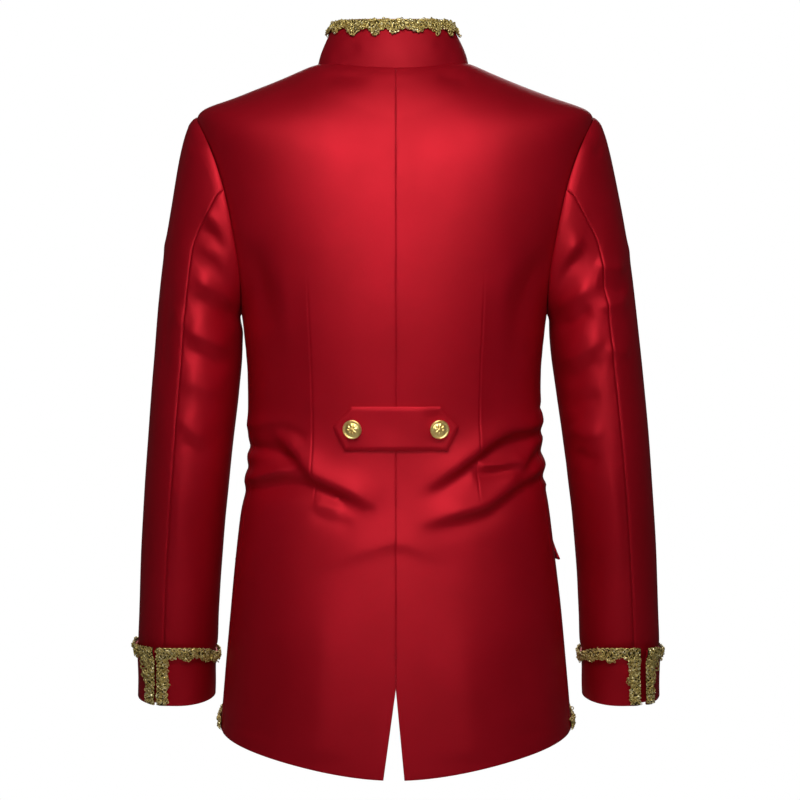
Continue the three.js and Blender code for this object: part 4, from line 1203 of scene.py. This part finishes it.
def joined(name, parts):
    """One mesh from (corners, faces, material index, smooth) parts."""
    corners, faces, index, smooth = [], [], [], []
    start = 0
    for part_corners, part_faces, material, rounded in parts:
        corners.append(part_corners)
        faces += [[corner + start for corner in face] for face in part_faces]
        index += [material] * len(part_faces)
        smooth += [rounded] * len(part_faces)
        start += len(part_corners)
    mesh = bpy.data.meshes.new(name)
    mesh.from_pydata(np.concatenate(corners).tolist(), [], faces)
    mesh.polygons.foreach_set("material_index", index)
    mesh.polygons.foreach_set("use_smooth", smooth)
    mesh.validate()
    return mesh

# %% One run of braid
PITCH = {"collar": 27, "cuff": 21, "front": 24}  # from one scallop to the next
BRAID_WIDE = 11
FIGURE = 9  # the two middle cords cross twice in this length
CORD_RADIUS, PETAL_RADIUS = 0.7, 0.95
ON_TAPE, ON_CORDS, ON_TOP = 1.9, 2.2, 3.2  # lifts of the cords, of what is scattered, and of the petals
TAPE_INDEX, THREAD_INDEX, BEAD_INDEX = 0, 1, 2  # a braid's materials, in order


def scallop(s, tip, pitch):
    """How far the scalloped edge reaches: no two scallops are quite alike."""
    drift = s + 2.2 * np.sin(s / 13)
    point = np.abs(np.sin(math.pi * drift / pitch)) ** 3
    return tip * (0.8 + 0.3 * np.sin(s / 19)) * point + 0.8 * np.sin(s / 2.3) * np.sin(s / 5.9)


def laid_cord(lay, s, across, lift, radius):
    """The part for one cord that follows a run."""
    path = lay(s, across, lift)
    return (*cord_of(path, lay(s, across, lift + 1) - path, radius), THREAD_INDEX, True)


def braid_run(lay, length, tip, seed, pitch):
    """Parts of one run of braid. lay(s, across, lift) gives a point at s along it and `across` from its
    straight edge, both in millimetres."""
    s = np.linspace(0, length, max(8, int(length / 1.8)))[:, None]
    s, share = np.broadcast_arrays(s, np.linspace(0, 1, 6)[None, :])
    across = share * (BRAID_WIDE - 0.8 + scallop(s, tip, pitch))
    # The tape under the cords is coloured near black, as painted shade for the gaps.
    parts = [(*tape_of(lay(s, across, 1.1 + 0.5 * np.sin(math.pi * share)), 0.7), TAPE_INDEX, True)]
    s = np.linspace(0.6, length - 0.6, max(8, int(length / 1.5)))
    wide = BRAID_WIDE + scallop(s, tip, pitch)
    lines = [
        0.9 + 0.9 * np.sin(s * 1.3),
        wide - 1.2 + 0.9 * np.sin(s * 1.1 + 1),
        wide * (0.5 + 0.32 * np.sin(s * 2 * math.pi / FIGURE)),
        wide * (0.5 + 0.32 * np.sin(s * 2 * math.pi / FIGURE + math.pi)),
    ]
    for k, across in enumerate(lines):
        parts.append(laid_cord(lay, s, across, ON_TAPE + 0.5 * np.sin(s * 1.7 + k), CORD_RADIUS))
    chance = np.random.default_rng(seed)
    # One of a shape in every so many square millimetres, from low to high across the width.
    for shape, every, low, high, size, tilt, finish in (
        (one_loop(), 11.5, 0.06, 1.04, 1.8, 0.55, THREAD_INDEX),
        (one_bead(), 7.5, 0.04, 1.06, 1.25, 0.75, BEAD_INDEX),
    ):
        count = int(length * BRAID_WIDE / every)
        s = chance.uniform(0.8, length - 0.8, count)
        across = chance.uniform(low, high, count) * (BRAID_WIDE + scallop(s, tip, pitch))
        lift = ON_CORDS + chance.uniform(0, 1.3, count)
        centre = lay(s, across, lift)
        up = lay(s, across, lift + 1) - centre
        copies = scattered(shape, centre, up, size, tilt, seed + finish)
        parts.append((*copies, finish, finish == THREAD_INDEX))
    return parts


def petals(lay, s, across, long, leans):
    """Closed loops of cord fanned out from one point, each of them leaning so many degrees off the run."""
    turn = np.linspace(0, 2 * math.pi, 25)
    out, wide = long * (1 - np.cos(turn)) / 2, 0.2 * long * np.sin(turn)
    parts = []
    for lean in leans:
        along = s + out * cos_deg(lean) - wide * sin_deg(lean)
        aside = across + out * sin_deg(lean) + wide * cos_deg(lean)
        parts.append(laid_cord(lay, along, aside, ON_TOP + 0 * turn, PETAL_RADIUS))
    return parts


def braid_piece(name, node, parts):
    piece = shown(name, joined(name, parts), GAP_SHADE_TAPE, node, slot="braid")
    piece.data.materials.append(THREAD)
    piece.data.materials.append(BEAD)
    print(name, len(piece.data.polygons), "faces")


def on(surface, u, v, lift, sign=1):
    """Points lifted off a surface along its normals."""
    return surface(u, v) + normal_of(surface, u, v, sign) * np.asarray(lift)[..., None]


def length_of(lay):
    """The length of the line that lay(t) draws for t from 0 to 1."""
    t = np.linspace(0, 1, 200)
    return float(measured(lay(t)[None], 1)[0, -1])

# %% Braid on the collar
COLLAR_TALL = 56
collar_round = length_of(lambda t: collar(lerp(-COLLAR_SPAN, COLLAR_SPAN, t), 98 + 0 * t))


def on_collar(s, across, lift):
    angle = lerp(-COLLAR_SPAN + 1, COLLAR_SPAN - 1, s / collar_round)
    return on(collar, angle, 100 * (1 - (across + 1.5) / COLLAR_TALL), lift, -1)


braid_piece("gold_braid_collar", "braid_collar", braid_run(on_collar, collar_round, 9, 3, PITCH["collar"]))
print("collar braid", round(collar_round), "mm")

# %% Braid on the cuffs
BRAID_RISE = 3.4  # how much further the run climbs past the cuff's edge at the back of the arm


def cuff_braid(side, sign):
    surface = cuff_surface(sign)
    start, end = cuff_ends(sign)
    tall = CUFF_BOTTOM - 2 - float(cuff_top(sign, np.asarray(start)))

    def on_top(s, across, lift):
        turn = start + (s - 0.8) * DEGREES_PER_MM
        return on(surface, turn, across - 2 - BRAID_RISE * np.maximum(sin_deg(turn), 0) ** 2, lift, -sign)

    def on_start(s, across, lift):
        return on(surface, start + (across - 1.2) * DEGREES_PER_MM, tall - s, lift, -sign)

    def on_end(s, across, lift):
        return on(surface, end - (across - 1.2) * DEGREES_PER_MM, tall - s, lift, -sign)

    length = (end - start) / DEGREES_PER_MM + 1.6
    parts = braid_run(on_top, length, 4, 11 + sign, PITCH["cuff"])
    parts += braid_run(on_start, tall - 6, 2, 21 + sign, PITCH["cuff"])
    parts += braid_run(on_end, tall - 6, 2, 31 + sign, PITCH["cuff"])
    parts += petals(on_end, tall - 19, 8, 14, (20, 50, 80, 110))
    if sign > 0:
        parts += petals(on_end, tall - 33, 8, 11, (50, 85))
    print("cuff braid", round(length + 2 * tall), "mm")
    braid_piece(f"gold_braid_cuff_{side}", f"braid_cuff_{side}", parts)


for side, sign in SIDES:
    cuff_braid(side, sign)

# %% Braid down the front edge and along the hem
EDGE_RUN = 640  # down the left front's edge
RIGHT_HEM_TO = 160  # degrees round to where the right hem's braid ends


def front_braid(side, sign):
    surface = body if sign > 0 else body_under

    def edge_angle(down, inside):
        ring = body_ring(down)
        return 180 + np.degrees(np.arcsin((FRONT_LAP - 0.5 - inside) / (ring["mid"] - ring["fore"])))

    def on_edge(s, across, lift):
        return on(surface, edge_angle(2 + s, across), 2 + s, lift)

    side_angle = float(side_seam(np.asarray(float(HEM)))["angle"]) + 1
    first = float(edge_angle(np.asarray(700.0), 0)) - 1 if sign > 0 else RIGHT_HEM_TO

    def hem_at(t, across, lift):
        angle = lerp(first, side_angle, t)
        down = front_hem(angle) - (0.5 + across) / lerp(PITCH_FRONT, PITCH_SIDE, t)
        return on(surface, sign * angle, down, lift)

    hem_length = length_of(lambda t: hem_at(t, 0, 0 * t))

    def on_hem(s, across, lift):
        return hem_at(s / hem_length, across, lift)

    parts = braid_run(on_hem, hem_length, 0, 41 + sign, PITCH["front"])
    if sign > 0:
        parts += braid_run(on_edge, EDGE_RUN, 0, 51, PITCH["front"])
    print("front braid", round(hem_length + (EDGE_RUN if sign > 0 else 0)), "mm")
    braid_piece(f"gold_braid_front_{side}", f"braid_front_{side}", parts)


for side, sign in SIDES:
    front_braid(side, sign)

# %% [markdown]
# ## Buttons
#
# A uniform button is stamped from thin brass: a shank, a rolled rim, and a domed face with raised ornament.
# The profile is spun round the button's axis, and the face is then raised into a plain eight-petalled
# flower. A profile of a few points is easy to change, and a sculpted disc would need many more faces for
# the same round rim.

# %% Gilt buttons
BUTTON_RADIUS, BUTTON_SHANK, BUTTON_HIGH, HEAD_THICK = 10.2, 3, 7.6, 4.2
FRONT_BUTTONS, FIRST_BUTTON, LAST_BUTTON = 5, 60, 470
RIM = ((1.3, 0.1), (0.4, 0.5), (0, 1.3), (0.2, 2.1), (0.8, 2.5), (1.5, 2.4), (2.0, 1.8))  # inwards, up
FACE_RADIUS, PETALS, PETAL_AT = 7.6, 8, 4.3


def button_parts(centre, axis):
    head = BUTTON_HIGH - HEAD_THICK
    profile = [(0, 0), (BUTTON_SHANK, 0), (BUTTON_SHANK, head)]
    profile += [(BUTTON_RADIUS - inwards, head + up) for inwards, up in RIM]
    profile += [(r, head + 2.0 + 1.3 * (1 - (r / 8) ** 2)) for r in np.linspace(7.8, 0.25, 22)]
    profile += [(0, head + 3.3)]
    bm = bmesh.new()
    corners = [bm.verts.new((r, 0, z)) for r, z in profile]
    edges = [bm.edges.new(pair) for pair in zip(corners[:-1], corners[1:])]
    around = {"cent": (0, 0, 0), "axis": (0, 0, 1), "angle": 2 * math.pi}
    bmesh.ops.spin(bm, geom=corners + edges, **around, steps=64, use_merge=True)
    bmesh.ops.remove_doubles(bm, verts=bm.verts, dist=1e-5)
    bmesh.ops.recalc_face_normals(bm, faces=bm.faces)
    for vert in bm.verts:
        r, turn = math.hypot(vert.co.x, vert.co.y), math.atan2(vert.co.y, vert.co.x)
        if vert.co.z > head + 1.9 and r < FACE_RADIUS:
            petal = (0.5 + 0.5 * math.cos(PETALS * turn)) * math.exp(-(((r - PETAL_AT) / 1.5) ** 2))
            heart = math.exp(-((r / 1.5) ** 2))
            vert.co.z += 0.7 * petal + 0.6 * heart - 0.3
    turn = Vector((0, 0, 1)).rotation_difference(Vector(axis)).to_matrix().to_4x4()
    bm.transform(Matrix.Translation(Vector(centre) * MM) @ turn @ Matrix.Scale(MM, 4))
    return (*loose(bm), 0, True)


def button(name, surface, angle, down, lift):
    centre = on(surface, angle, down, lift)
    axis = normal_of(surface, angle, down)
    shown(f"gilt_{name}", joined(name, [button_parts(centre, axis)]), GILT, name, slot="button")


for side, sign in SIDES:
    belt_angle = float(angle_at(np.asarray(float(sign * BELT_BUTTON)), np.asarray(float(BELT_LEVEL))))
    button(f"button_back_{side}", body, belt_angle, BELT_LEVEL, BELT_LIFT + BELT_THICK + 0.9)
for i, down in enumerate(np.linspace(FIRST_BUTTON, LAST_BUTTON, FRONT_BUTTONS)):
    button(f"button_front_{i + 1}", body, 180, down, 0.6)
print(len(SIDES) + FRONT_BUTTONS, "buttons")
